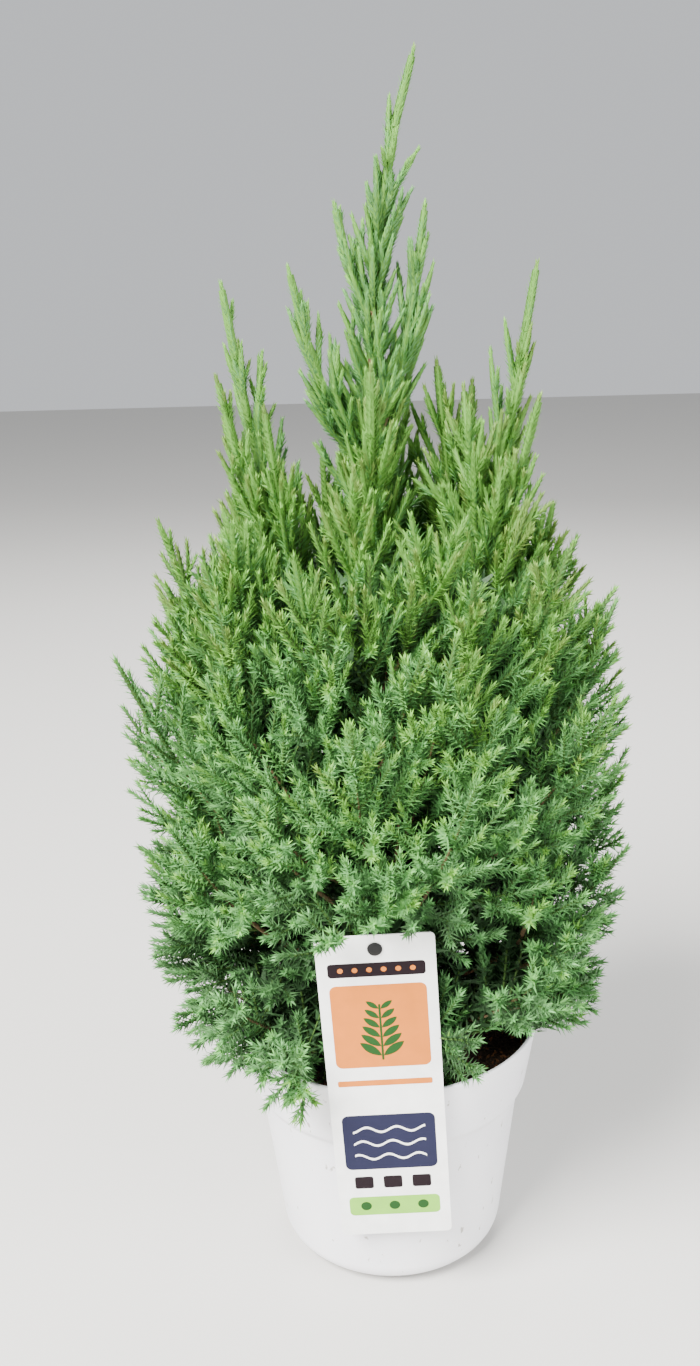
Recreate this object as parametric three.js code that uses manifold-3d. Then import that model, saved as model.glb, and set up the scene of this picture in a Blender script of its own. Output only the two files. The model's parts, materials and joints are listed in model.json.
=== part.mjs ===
// A young upright juniper in its plastic pot: a pot of compost, one trunk that runs up through the crown,
// rising boughs set round it in tiers, and a plume of needle sprays on each bough.
// Millimetres, +Z up. The origin is the middle of the pot's underside. The label hangs on the -Y side.

import * as THREE from 'three';
import { mergeVertices } from 'three/addons/utils/BufferGeometryUtils.js';
import Module from 'manifold-3d';

const wasm = await Module();
wasm.setup();

// Driving sizes. Neighbouring pieces keep this gap.
const gap = 0.3;

const pot = {
  height: 154,
  rimRadius: 95,
  collarHeight: 42,
  collarFootRadius: 88,
  stepHeight: 3,
  shoulderRadius: 83.5,
  baseRadius: 71.5,
  baseRound: 15,
  wall: 2.4,
  floor: 3,
  lip: 1.2,
  sides: 36,
  roundSteps: 3,
  holes: { count: 6, radius: 5, ring: 42, sides: 8 },
};

const soil = { top: 137, swell: 3, edgeSwell: 1, level: 0.3, rings: 4 };

const trunk = {
  top: 721, // where the leading shoot ends
  cut: 634, // where the bare wood enters the leading shoot
  footRadius: 6.4,
  flare: 3.4,
  flareHeight: 14,
  cutRadius: 1.2,
  lean: 25,
  bow: 4.2,
  sides: 7,
  steps: 13,
};

// The crown's radius at each height. No spray reaches past it.
const crownOutline = [
  [96, 100],
  [134, 120],
  [165, 142],
  [250, 156],
  [350, 158],
  [410, 148],
  [465, 128],
  [520, 106],
  [612, 94],
  [650, 40],
  [721, 32],
];

// The limbs stand round the trunk in tiers. Turn is counted from +X towards +Y, in degrees. A limb leaves
// the trunk at foot, and its plume ends at the height tip, reach away from the pot's middle. Girth is how
// far the sprays stand out of the plume, and rise is how much they turn upwards. A limb that is named in odd
// has sizes of its own.
const tiers = [
  {
    name: 'skirt',
    count: 5,
    turn: 222,
    foot: 152,
    reach: 114,
    tip: 190,
    girth: 50,
    rise: 0.08,
    radius: 2.4,
    sprays: 5,
    odd: {
      1: { reach: 116, tip: 172, rise: -0.3 },
      2: { turn: 306, reach: 108, tip: 186 },
      3: { reach: 136, tip: 166 },
    },
  },
  {
    name: 'lower',
    count: 5,
    turn: 342,
    foot: 168,
    reach: 150,
    tip: 288,
    girth: 80,
    rise: 0.25,
    radius: 3.0,
    sprays: 5,
    odd: { 5: { foot: 216, tip: 318, reach: 146 } },
  },
  {
    name: 'middle',
    count: 6,
    turn: 25,
    foot: 200,
    reach: 152,
    tip: 392,
    girth: 74,
    rise: 0.35,
    radius: 3.0,
    sprays: 6,
    odd: { 1: { reach: 156, tip: 400 }, 4: { reach: 164, tip: 414 } },
  },
  {
    name: 'upper',
    count: 5,
    turn: 36,
    foot: 262,
    reach: 126,
    tip: 478,
    girth: 76,
    rise: 0.4,
    radius: 2.8,
    sprays: 6,
  },
  {
    name: 'spire',
    count: 3,
    turn: 0,
    foot: 316,
    reach: 88,
    tip: 600,
    girth: 44,
    rise: 0.5,
    radius: 2.4,
    sprays: 6,
    odd: {
      1: { turn: 0, reach: 91, tip: 612 },
      2: { turn: 180, reach: 84, tip: 606 },
      3: { turn: 78, reach: 64, tip: 576 },
    },
  },
];

// Plumes that leave the trunk itself: near its top, and one low in front.
const trunkPlumes = [
  { turn: 180, foot: 585, reach: 20, tip: 646, girth: 24, rise: 0.9, sprays: 4, crowded: true },
  { turn: 192, foot: 500, reach: 47, tip: 613, girth: 36, rise: 0.6, sprays: 5 },
  { turn: 352, foot: 510, reach: 30, tip: 645, girth: 38, rise: 0.6, sprays: 5 },
  { turn: 95, foot: 440, reach: 44, tip: 585, girth: 42, rise: 0.5, sprays: 5 },
  { turn: 268, foot: 420, reach: 48, tip: 562, girth: 46, rise: 0.5, sprays: 5 },
  { turn: 264, foot: 166, reach: 76, tip: 240, girth: 48, rise: 0.2, sprays: 4 },
];

const leader = {
  turn: 20,
  girth: 32,
  rise: 1.3,
  sprays: 4,
  core: 0,
  tipShare: 1,
  whorlLength: 15,
  slimness: 0.75,
  crowded: true,
};

const plume = {
  start: 0.36, // the share of a limb that is bare bough
  bendOut: 0.6, // where a limb's curve bends, as shares of its reach and of its rise
  bendUp: 0.2,
  core: 0.34, // the core's radius as a share of the girth
  coreSides: 5,
  coreWhorls: 3,
  coreStart: 0.04, // where the core lies on the plume's stem
  coreEnd: 0.8,
  tipShare: 0.42, // the share of the plume that is its slim end
  stemRadius: 1.6,
  stemTipRadius: 0.7,
};

const spray = {
  radius: 3.6, // of the slim core that the needles stand on
  whorlLength: 21, // from one whorl of needles to the next
  needleOut: 10.5,
  needleUp: 20,
  slimness: 0.62, // of the needles on a plume's end
  twist: 0.5,
  shortest: 20,
  first: 0.03, // where the lowest and the highest one leave the plume's stem
  last: 0.83,
  lowSpread: 62, // degrees away from the stem, for the lowest and the highest
  highSpread: 36,
  tries: 3, // places tried for each spray that a plume has
  crowded: 0.55, // the share of a spray's length where it may cross its neighbours
};

const label = {
  width: 66,
  length: 212,
  thickness: 0.8,
  corner: 3,
  tilt: 7,
  roll: 2.6,
  middle: [-2, -96.9, 157],
  hole: { radius: 2.6, below: 8.5 },
};

const peg = {
  width: 6,
  depth: 2,
  above: 10, // the label's hole
  buried: 24,
  footOut: 80,
  footLeft: 4,
  neckRadius: 1.9,
  headRadius: 4.2,
  head: 1.4,
};

const colours = {
  pot: 0xecebef,
  soil: 0x33271f,
  wood: 0x6d4f38,
  label: 0xfafaf6,
  peg: 0x3c3c3e,
  needles: [0x5f8f4e, 0x699a55, 0x74a55c],
};

const material = (color, roughness) => new THREE.MeshStandardMaterial({ color, roughness, metalness: 0 });
const materials = {
  pot: material(colours.pot, 0.35),
  soil: material(colours.soil, 0.95),
  wood: material(colours.wood, 0.85),
  label: material(colours.label, 0.4),
  peg: material(colours.peg, 0.5),
  needles: colours.needles.map((colour) => material(colour, 0.6)),
};

const up = new THREE.Vector3(0, 0, 1);
const goldenTurn = Math.PI * (3 - Math.sqrt(5));
const radians = THREE.MathUtils.degToRad;

// A seeded random number between 0 and 1, the same on every run.
function randomFrom(seed) {
  let state = seed >>> 0;
  return () => {
    state = (state + 0x6d2b79f5) >>> 0;
    let mixed = Math.imul(state ^ (state >>> 15), state | 1);
    mixed = (mixed + Math.imul(mixed ^ (mixed >>> 7), mixed | 61)) ^ mixed;
    return ((mixed ^ (mixed >>> 14)) >>> 0) / 4294967296;
  };
}

// Booleans work on solids, and the scene holds geometries.
function toSolid(geometry) {
  const bare = new THREE.BufferGeometry().setAttribute('position', geometry.getAttribute('position'));
  const merged = mergeVertices(geometry.index ? bare.setIndex(geometry.index) : bare, 1e-3);
  return new wasm.Manifold(
    new wasm.Mesh({
      numProp: 3,
      vertProperties: merged.attributes.position.array,
      triVerts: new Uint32Array(merged.index.array),
    }),
  );
}

function toGeometry(solid) {
  const { numProp, vertProperties, triVerts } = solid.getMesh();
  const positions = new Float32Array((vertProperties.length / numProp) * 3);
  for (let i = 0; i < positions.length / 3; i++) {
    positions.set(vertProperties.subarray(i * numProp, i * numProp + 3), i * 3);
  }
  const geometry = new THREE.BufferGeometry()
    .setAttribute('position', new THREE.BufferAttribute(positions, 3))
    .setIndex(new THREE.BufferAttribute(triVerts, 1));
  geometry.computeVertexNormals();
  return geometry;
}

const boxesMeet = (a, b) =>
  [0, 1, 2].every((k) => a.min[k] - gap <= b.max[k] && b.min[k] - gap <= a.max[k]);

// True where a solid keeps the gap to every one of the others.
function isClear(solid, others) {
  const box = solid.boundingBox();
  const isApart = (other) => !boxesMeet(box, other.boundingBox()) || solid.minGap(other, 2 * gap) >= gap;
  return others.every(isApart);
}

// Two directions across a curve at t: the first lies level, across the limb's own upright plane.
function acrossCurve(curve, t, turn) {
  const along = curve.getTangent(t);
  const level = new THREE.Vector3(-Math.sin(turn), Math.cos(turn), 0);
  const rising = new THREE.Vector3().crossVectors(along, level).normalize();
  level.crossVectors(rising, along);
  return { along, level, rising };
}

// A closed round limb along a curve from t0 to t1, made by bending an upright cylinder.
function bentCylinder(curve, turn, { t0, t1, sides, steps, radiusAt }) {
  const geometry = new THREE.CylinderGeometry(1, 1, 1, sides, steps);
  const position = geometry.getAttribute('position');
  for (let i = 0; i < position.count; i++) {
    const share = position.getY(i) + 0.5;
    const t = t0 + (t1 - t0) * share;
    const { level, rising } = acrossCurve(curve, t, turn);
    const radius = radiusAt(share);
    const point = curve
      .getPoint(t)
      .addScaledVector(level, radius * position.getX(i))
      .addScaledVector(rising, -radius * position.getZ(i));
    position.setXYZ(i, point.x, point.y, point.z);
  }
  return toSolid(geometry);
}

// The trunk bows a little one way, and its tip leans the other way.
class TrunkCurve extends THREE.Curve {
  getPoint(t, target = new THREE.Vector3()) {
    const x = trunk.lean * t ** 8 - trunk.bow * Math.sin(Math.PI * t);
    return target.set(x, 0, soil.top + (trunk.top - soil.top) * t);
  }
}
const trunkCurve = new TrunkCurve();
const trunkShare = (height) => (height - soil.top) / (trunk.top - soil.top);

function trunkRadius(height) {
  const share = (height - soil.top) / (trunk.cut - soil.top);
  const flare = trunk.flare * Math.exp(-(height - soil.top) / trunk.flareHeight);
  return trunk.footRadius + (trunk.cutRadius - trunk.footRadius) * share + flare;
}

function makeTrunk(extra = 0) {
  const t0 = trunkShare(soil.top + gap);
  const t1 = trunkShare(trunk.cut + extra);
  return bentCylinder(trunkCurve, 0, {
    t0,
    t1,
    sides: trunk.sides,
    steps: trunk.steps,
    radiusAt: (share) => trunkRadius(soil.top + (trunk.cut - soil.top) * share) + extra,
  });
}

// The pot: one turned wall with a collar, a rounded base edge and drain holes.
function makePot() {
  const collarFoot = pot.height - pot.collarHeight;
  const slope = (pot.shoulderRadius - pot.baseRadius) / (collarFoot - pot.baseRound);
  const profile = new THREE.Path();
  profile.moveTo(0, 0);
  profile.lineTo(pot.baseRadius - pot.baseRound, 0);
  profile.absarc(pot.baseRadius - pot.baseRound, pot.baseRound, pot.baseRound, -Math.PI / 2, 0, false);
  profile.lineTo(pot.shoulderRadius, collarFoot - pot.stepHeight);
  profile.lineTo(pot.collarFootRadius, collarFoot);
  profile.lineTo(pot.rimRadius, pot.height - pot.lip);
  profile.lineTo(pot.rimRadius - pot.lip, pot.height);
  profile.lineTo(pot.rimRadius - pot.wall, pot.height);
  profile.lineTo(pot.collarFootRadius - pot.wall, collarFoot);
  profile.lineTo(pot.shoulderRadius - pot.wall, collarFoot - pot.stepHeight);
  profile.lineTo(pot.baseRadius - pot.wall + slope * pot.floor, pot.baseRound + pot.floor);
  profile.lineTo(pot.baseRadius - pot.baseRound, pot.floor);
  profile.lineTo(0, pot.floor);
  const { count, radius, ring, sides } = pot.holes;
  let solid = toSolid(upright(new THREE.LatheGeometry(profile.getPoints(pot.roundSteps), pot.sides)));
  for (let i = 0; i < count; i++) {
    const angle = ((i + 0.5) / count) * 2 * Math.PI;
    const drill = upright(new THREE.CylinderGeometry(radius, radius, 4 * pot.floor, sides));
    drill.translate(ring * Math.cos(angle), ring * Math.sin(angle), 0);
    solid = solid.subtract(toSolid(drill));
  }
  return solid;
}

// Turns a shape made round +Y so that it stands round +Z.
function upright(geometry) {
  return geometry.rotateX(Math.PI / 2);
}

// Compost that fills the pot, a little uneven on top and level under the trunk.
function makeSoil() {
  const collarFoot = pot.height - pot.collarHeight;
  const inset = pot.wall + 2 * gap;
  const slope = (pot.rimRadius - pot.collarFootRadius) / (pot.collarHeight - pot.lip);
  const edge = pot.collarFootRadius + slope * (soil.top - collarFoot) - inset;
  const points = [
    new THREE.Vector2(0, pot.floor + gap),
    new THREE.Vector2(pot.baseRadius - pot.baseRound - 2 * gap, pot.floor + gap),
    new THREE.Vector2(pot.baseRadius - inset, pot.baseRound + pot.floor + gap),
    new THREE.Vector2(pot.shoulderRadius - inset, collarFoot - pot.stepHeight),
    new THREE.Vector2(pot.collarFootRadius - inset, collarFoot),
  ];
  for (let i = 0; i <= soil.rings; i++) {
    points.push(new THREE.Vector2(edge * (1 - i / soil.rings), soil.top));
  }
  const geometry = upright(new THREE.LatheGeometry(points, pot.sides));
  const position = geometry.getAttribute('position');
  for (let i = 0; i < position.count; i++) {
    const distance = Math.hypot(position.getX(i), position.getY(i));
    if (position.getZ(i) < soil.top - 1e-6 || distance < soil.level * edge) continue;
    const wave = Math.sin(0.07 * position.getX(i)) * Math.cos(0.09 * position.getY(i) + 1);
    position.setZ(i, soil.top + wave * (distance < 0.9 * edge ? soil.swell : soil.edgeSwell));
  }
  return toSolid(geometry);
}

// The label hangs flat on the pot's rim, leaning a little outwards at its top. Its own frame is the card's
// face: x across it, y up it, z out of it.
const labelPlace = new THREE.Matrix4()
  .makeTranslation(...label.middle)
  .multiply(new THREE.Matrix4().makeRotationX(Math.PI / 2 + radians(label.tilt)))
  .multiply(new THREE.Matrix4().makeRotationZ(radians(label.roll)));
const holeHeight = label.length / 2 - label.hole.below;

function roundedCard(width, length, corner) {
  const [x, y] = [width / 2, length / 2];
  const card = new THREE.Shape();
  card.moveTo(-x + corner, -y);
  card.absarc(x - corner, -y + corner, corner, -Math.PI / 2, 0, false);
  card.absarc(x - corner, y - corner, corner, 0, Math.PI / 2, false);
  card.absarc(-x + corner, y - corner, corner, Math.PI / 2, Math.PI, false);
  card.absarc(-x + corner, -y + corner, corner, Math.PI, 1.5 * Math.PI, false);
  return card;
}

function makeLabel() {
  const card = roundedCard(label.width, label.length, label.corner);
  card.holes.push(new THREE.Path().absarc(0, holeHeight, label.hole.radius, 0, 2 * Math.PI, true));
  const geometry = new THREE.ExtrudeGeometry(card, {
    depth: label.thickness,
    bevelEnabled: false,
    curveSegments: 3,
  });
  return toSolid(geometry.translate(0, 0, -label.thickness / 2).applyMatrix4(labelPlace));
}

// A flat plastic peg pushed into the compost behind the label, with a button through the label's hole.
function makePeg(extra = 0) {
  const back = label.thickness / 2 + gap + peg.depth / 2;
  const top = new THREE.Vector3(0, holeHeight + peg.above, -back).applyMatrix4(labelPlace);
  const foot = new THREE.Vector3(-peg.footLeft, -peg.footOut, soil.top - peg.buried);
  const middle = top.clone().add(foot).multiplyScalar(0.5);
  const blade = new THREE.BoxGeometry(
    peg.width + 2 * extra,
    peg.depth + 2 * extra,
    top.distanceTo(foot) + 2 * extra,
  );
  const lean = new THREE.Quaternion().setFromUnitVectors(up, top.clone().sub(foot).normalize());
  blade.applyQuaternion(lean).translate(middle.x, middle.y, middle.z);
  const neckLength = label.thickness + 2 * gap + peg.depth;
  const neck = new THREE.CylinderGeometry(peg.neckRadius, peg.neckRadius, neckLength, 8)
    .rotateX(Math.PI / 2)
    .translate(0, holeHeight, label.thickness / 2 + gap + 0.1 - neckLength / 2);
  const head = new THREE.CylinderGeometry(0.7 * peg.headRadius, peg.headRadius, peg.head, 8)
    .rotateX(Math.PI / 2)
    .translate(0, holeHeight, label.thickness / 2 + gap + peg.head / 2);
  return [neck, head]
    .map((piece) => toSolid(piece.applyMatrix4(labelPlace)))
    .reduce((solid, piece) => solid.add(piece), toSolid(blade));
}

// A limb rises from the trunk and bends upwards as it goes out.
function limbCurve({ turn, foot, reach, tip }) {
  const start = trunkCurve.getPoint(trunkShare(foot));
  const end = new THREE.Vector3(reach * Math.cos(turn), reach * Math.sin(turn), tip);
  const bend = start.clone().lerp(end, plume.bendOut);
  bend.z = foot + (tip - foot) * plume.bendUp;
  return new THREE.QuadraticBezierCurve3(start, bend, end);
}

// The crown's outline: how far from the pot's middle a spray may reach at a height.
function crownRadius(height) {
  for (let i = 1; i < crownOutline.length; i++) {
    const [[lowHeight, lowRadius], [highHeight, highRadius]] = [crownOutline[i - 1], crownOutline[i]];
    if (height > highHeight) continue;
    const share = Math.max(0, (height - lowHeight) / (highHeight - lowHeight));
    return lowRadius + share * (highRadius - lowRadius);
  }
  return 0;
}

// A spray is shortened until its tip lies inside the crown.
function fitToCrown(one) {
  const tip = new THREE.Vector3();
  while (one.length > spray.shortest) {
    tip.copy(one.base).addScaledVector(one.direction, one.length);
    if (Math.hypot(tip.x, tip.y) <= crownRadius(tip.z)) return true;
    one.length *= 0.93;
  }
  return false;
}

// Where the sprays of one plume may stand. They leave its stem in a rising spiral, longest low down.
function plumeSprays(limb, size, seed) {
  const random = randomFrom(seed);
  const span = coreSpan(limb);
  const places = limb.sprays * spray.tries;
  const sprays = [];
  for (let i = 0; i < places; i++) {
    const share = (((i + 0.5) * spray.tries) / places) % 1;
    const t = limb.start + (1 - limb.start) * (spray.first + (spray.last - spray.first) * share);
    const { along, level, rising } = acrossCurve(limb.curve, t, limb.turn);
    const spin = i * goldenTurn + 0.7 * random() + limb.turn;
    const spread = radians(spray.lowSpread + (spray.highSpread - spray.lowSpread) * share + 12 * random());
    const direction = along
      .clone()
      .multiplyScalar(Math.cos(spread))
      .addScaledVector(level, Math.sin(spread) * Math.cos(spin))
      .addScaledVector(rising, Math.sin(spread) * Math.sin(spin))
      .addScaledVector(up, limb.rise)
      .normalize();
    const length = limb.girth * (1.2 - 0.4 * share) * (0.85 + 0.3 * random());
    const inCore = Math.min(1, Math.max(0, (t - span.t0) / (span.t1 - span.t0)));
    const root = size > 0 ? coreRadius(size, inCore) : 0;
    const { slimness, whorlLength } = limb;
    sprays.push({ base: limb.curve.getPoint(t), direction, length, spin, root, slimness, whorlLength });
  }
  return sprays.filter(fitToCrown);
}

// The slim end that carries a plume on to its tip.
function plumeEnd(limb) {
  const share = limb.tipShare ?? plume.tipShare;
  const base = limb.curve.getPoint(1 - share * (1 - limb.start - limb.clearance));
  const direction = limb.curve.getPoint(1).sub(base);
  const length = direction.length();
  const { whorlLength } = limb;
  return makeSpray({
    base,
    direction: direction.normalize(),
    length,
    spin: 0,
    root: 0,
    slimness: spray.slimness,
    whorlLength,
  });
}

// A shoot is a slim core of three or more sides. Between two rings, each face is drawn out into a needle
// where the lower ring has a whorl, so that its needles stand round it. The last ring closes in a point.
function makeShoot(place, rings, end, sides) {
  const corners = [];
  const face = (...points) => points.forEach((point) => corners.push(point.x, point.y, point.z));
  const angle = (ring, k) => ring.turn + (2 * Math.PI * k) / sides;
  const circle = (ring) =>
    Array.from({ length: sides }, (_, k) => place(ring.at, ring.radius, angle(ring, k)));
  for (let i = 0; i < rings.length - 1; i++) {
    const [low, high] = [circle(rings[i]), circle(rings[i + 1])];
    const whorl = rings[i].whorl;
    for (let k = 0; k < sides; k++) {
      const next = (k + 1) % sides;
      if (!whorl) {
        face(low[k], low[next], high[next]);
        face(low[k], high[next], high[k]);
        continue;
      }
      const middle = (angle(rings[i], k + 0.5) + angle(rings[i + 1], k + 0.5)) / 2;
      const needle = place(rings[i].at + whorl.up, rings[i].radius + whorl.out, middle);
      face(low[k], low[next], needle);
      face(low[next], high[next], needle);
      face(high[next], high[k], needle);
      face(high[k], low[k], needle);
    }
  }
  const first = circle(rings[0]);
  const last = circle(rings[rings.length - 1]);
  const tip = place(end, 0, 0);
  for (let k = 1; k < sides - 1; k++) face(first[0], first[k + 1], first[k]);
  for (let k = 0; k < sides; k++) face(last[k], last[(k + 1) % sides], tip);
  const geometry = new THREE.BufferGeometry();
  return toSolid(geometry.setAttribute('position', new THREE.Float32BufferAttribute(corners, 3)));
}

// One spray runs straight. Its root is plain as far as the plume's core hides it.
function makeSpray({ base, direction, length, spin, root, slimness = 1, whorlLength = spray.whorlLength }) {
  const bare = Math.min(root, length - whorlLength);
  const whorls = Math.max(1, Math.round((length - bare) / whorlLength) - 1);
  const step = (length - bare) / (whorls + 1);
  const [sideA, sideB] = [new THREE.Vector3(), new THREE.Vector3()];
  sideA.crossVectors(direction, Math.abs(direction.x) < 0.8 ? new THREE.Vector3(1, 0, 0) : up).normalize();
  sideB.crossVectors(direction, sideA);
  const place = (along, radius, angle) =>
    base
      .clone()
      .addScaledVector(direction, along)
      .addScaledVector(sideA, radius * Math.cos(angle))
      .addScaledVector(sideB, radius * Math.sin(angle));
  const needleUp = (spray.needleUp * whorlLength) / spray.whorlLength;
  const rings = [];
  if (bare > 0) rings.push({ at: 0, radius: 0.5 * spray.radius, turn: spin });
  for (let i = 0; i <= whorls; i++) {
    const taper = 1 - (0.5 * i) / whorls;
    const whorl = { out: spray.needleOut * slimness * taper, up: needleUp * (0.4 + 0.6 * taper) };
    const turn = spin + spray.twist * i;
    rings.push({ at: bare + i * step, radius: spray.radius * taper, turn, whorl });
  }
  return makeShoot(place, rings, length, 3);
}

// How thick a plume's core is, from its start at share 0 to its end at share 1.
const coreRadius = (size, share) => 1.5 + size * Math.sin(Math.PI * share ** 0.7) ** 0.8;

// The dense middle of a plume, a stout shoot bent along the limb's curve.
function makeCore(limb, size) {
  const span = coreSpan(limb);
  const length = (span.t1 - span.t0) * limb.curve.getLength();
  const place = (along, radius, angle) => {
    const t = span.t0 + (span.t1 - span.t0) * Math.min(1.2, along / length);
    const { level, rising } = acrossCurve(limb.curve, t, limb.turn);
    return limb.curve
      .getPoint(t)
      .addScaledVector(level, radius * Math.cos(angle))
      .addScaledVector(rising, radius * Math.sin(angle));
  };
  const rings = [];
  for (let i = 0; i <= plume.coreWhorls; i++) {
    const share = i / (plume.coreWhorls + 1);
    const whorl = { out: 0.55 * size, up: Math.min(1.1 * size, length / 4) };
    rings.push({ at: share * length, radius: coreRadius(size, share), turn: 0.5 * i, whorl });
  }
  return makeShoot(place, rings, length, plume.coreSides);
}

const coreSpan = ({ start }) => ({
  t0: start + plume.coreStart * (1 - start),
  t1: start + plume.coreEnd * (1 - start),
});

// The outer shell of a solid's largest piece, without loose scraps and sealed hollows.
function largestPiece(solid) {
  return solid.decompose().reduce((a, b) => (a.volume() > b.volume() ? a : b));
}

// The stem of a plume carries its limb's curve on from the bough's tip, or starts at the trunk.
function makeStem(limb) {
  return bentCylinder(limb.curve, limb.turn, {
    t0: limb.start + limb.clearance,
    t1: coreSpan(limb).t1,
    sides: 3,
    steps: 4,
    radiusAt: (share) => plume.stemRadius + (plume.stemTipRadius - plume.stemRadius) * share,
  });
}

function makeBough(limb, trunkRoom) {
  const bough = bentCylinder(limb.curve, limb.turn, {
    t0: 0,
    t1: limb.start,
    sides: 4,
    steps: 3,
    radiusAt: (share) => limb.radius + (plume.stemRadius - limb.radius) * share,
  });
  return largestPiece(bough.subtract(trunkRoom));
}

// The share of a curve that spans the gap, from t on.
function gapShare(curve, t) {
  const step = 0.001;
  return (1.1 * gap * step) / curve.getPoint(t).distanceTo(curve.getPoint(t + step));
}

// Every limb, from the tiers and the trunk's own plumes.
function planLimbs() {
  const limbs = [];
  tiers.forEach((tier, tierIndex) => {
    for (let i = 0; i < tier.count; i++) {
      const random = randomFrom(100 * (tierIndex + 1) + i);
      limbs.push({
        ...tier,
        name: `${tier.name}_${i + 1}`,
        seed: 1000 * (tierIndex + 1) + i,
        turn: tier.turn + (360 * i) / tier.count + 10 * (random() - 0.5),
        foot: tier.foot + 7 * i,
        reach: tier.reach * (0.97 + 0.06 * random()),
        tip: tier.tip + 20 * (random() - 0.5),
        start: plume.start,
        bough: true,
        ...tier.odd?.[i + 1],
      });
    }
  });
  trunkPlumes.forEach((own, i) => {
    limbs.push({ ...own, name: `trunk_${i + 1}`, seed: 7000 + i, start: 0 });
  });
  for (const limb of limbs) {
    limb.turn = radians(limb.turn);
    limb.curve = limbCurve(limb);
    limb.clearance = limb.bough ? gapShare(limb.curve, limb.start) : 0;
  }
  limbs.push({
    ...leader,
    name: 'leader',
    seed: 8000,
    turn: radians(leader.turn),
    curve: trunkCurve,
    start: trunkShare(trunk.cut),
    clearance: gapShare(trunkCurve, trunkShare(trunk.cut)),
  });
  return limbs;
}

// The part of a spray that stands out of the core.
function outerPart(one) {
  const hidden = Math.max(one.root, spray.crowded * one.length);
  const base = one.base.clone().addScaledVector(one.direction, hidden);
  return { ...one, base, length: one.length - hidden, root: 0 };
}

// Plumes grow side by side, one spray each in turn. A spray that would touch another piece is left out, and
// so is one that would cross a spray of its own plume outside the core.
function growPlumes(limbs, fixed, trunkRoom) {
  const plumes = limbs.map((limb) => ({ limb, solid: largestPiece(makeStem(limb).subtract(trunkRoom)) }));
  const others = (mine) => [...fixed, ...plumes.filter((one) => one !== mine).map((one) => one.solid)];
  for (const one of plumes) {
    let size = (one.limb.core ?? plume.core) * one.limb.girth;
    while (size > 2 && !isClear(makeCore(one.limb, size), others(one))) size *= 0.85;
    if (size <= 2) size = 0;
    const end = plumeEnd(one.limb);
    one.solid = one.solid.add(end);
    if (size > 0) one.solid = one.solid.add(makeCore(one.limb, size));
    one.outer = [end];
    one.places = plumeSprays(one.limb, size, one.limb.seed);
  }
  const most = Math.max(...plumes.map((one) => one.limb.sprays));
  for (let round = 0; round < most; round++) {
    for (const one of plumes) {
      if (one.outer.length > one.limb.sprays) continue;
      while (one.places.length > 0) {
        const next = one.places.shift();
        const solid = makeSpray(next);
        const outer = makeSpray(outerPart(next));
        const crowds = !one.limb.crowded && !isClear(outer, one.outer);
        if (crowds || !isClear(solid, others(one))) continue;
        one.solid = one.solid.add(solid);
        one.outer.push(outer);
        break;
      }
    }
  }
  return plumes.map(({ limb, solid }) => [limb.name, largestPiece(solid)]);
}

const tree = new THREE.Group();

function addPiece(name, solid, surface) {
  const mesh = new THREE.Mesh(toGeometry(solid), surface);
  mesh.name = name;
  tree.add(mesh);
}

const potSolid = makePot();
const trunkSolid = makeTrunk();
const trunkRoom = makeTrunk(gap);
const soilSolid = makeSoil().subtract(makePeg(gap));
const labelSolid = makeLabel();
const pegSolid = makePeg();
const limbs = planLimbs();
const boughs = limbs.filter((limb) => limb.bough).map((limb) => [limb.name, makeBough(limb, trunkRoom)]);

addPiece('pot', potSolid, materials.pot);
addPiece('soil', soilSolid, materials.soil);
addPiece('label_card', labelSolid, materials.label);
addPiece('label_peg', pegSolid, materials.peg);
addPiece('trunk', trunkSolid, materials.wood);
for (const [name, solid] of boughs) addPiece(`bough_${name}`, solid, materials.wood);

const fixed = [potSolid, soilSolid, labelSolid, pegSolid, trunkSolid, ...boughs.map(([, solid]) => solid)];
growPlumes(limbs, fixed, trunkRoom).forEach(([name, solid], i) => {
  addPiece(`plume_${name}`, solid, materials.needles[i % materials.needles.length]);
});

export default tree;
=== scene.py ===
import json
import math

import bmesh
import bpy
import numpy as np
from mathutils import Matrix, Vector, noise

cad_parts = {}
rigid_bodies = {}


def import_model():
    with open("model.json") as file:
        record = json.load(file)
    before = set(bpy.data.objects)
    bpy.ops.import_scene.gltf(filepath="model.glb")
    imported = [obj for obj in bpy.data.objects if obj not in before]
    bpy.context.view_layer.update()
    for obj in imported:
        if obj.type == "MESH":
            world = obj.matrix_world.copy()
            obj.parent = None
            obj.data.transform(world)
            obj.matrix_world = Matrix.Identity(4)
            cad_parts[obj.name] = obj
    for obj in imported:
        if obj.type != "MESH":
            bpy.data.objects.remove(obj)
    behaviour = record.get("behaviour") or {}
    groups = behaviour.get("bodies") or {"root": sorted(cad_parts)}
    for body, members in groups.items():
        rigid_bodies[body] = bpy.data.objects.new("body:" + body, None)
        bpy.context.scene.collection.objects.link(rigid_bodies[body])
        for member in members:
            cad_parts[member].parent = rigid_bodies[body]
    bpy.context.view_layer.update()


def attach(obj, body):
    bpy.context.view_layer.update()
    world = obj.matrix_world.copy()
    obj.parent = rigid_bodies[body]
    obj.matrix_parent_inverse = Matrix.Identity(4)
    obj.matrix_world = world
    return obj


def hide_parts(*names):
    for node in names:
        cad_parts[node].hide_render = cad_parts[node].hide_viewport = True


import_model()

mm = 0.001
goldenTurn = math.pi * (3 - math.sqrt(5))
fullTurn = 6.28  # rounded, for random turns
seeds = {
    "forks": 300, "inner": 900, "trunk": 7000, "leader": 8000, "sprigs": 8100, "shoots": 4242, "needles": 77,
}
upward = np.array([0.0, 0.0, 1.0])


# Small helpers for numbers and vectors

def unit(vectors):
    return vectors / np.maximum(np.linalg.norm(vectors, axis=-1, keepdims=True), 1e-9)


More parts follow.
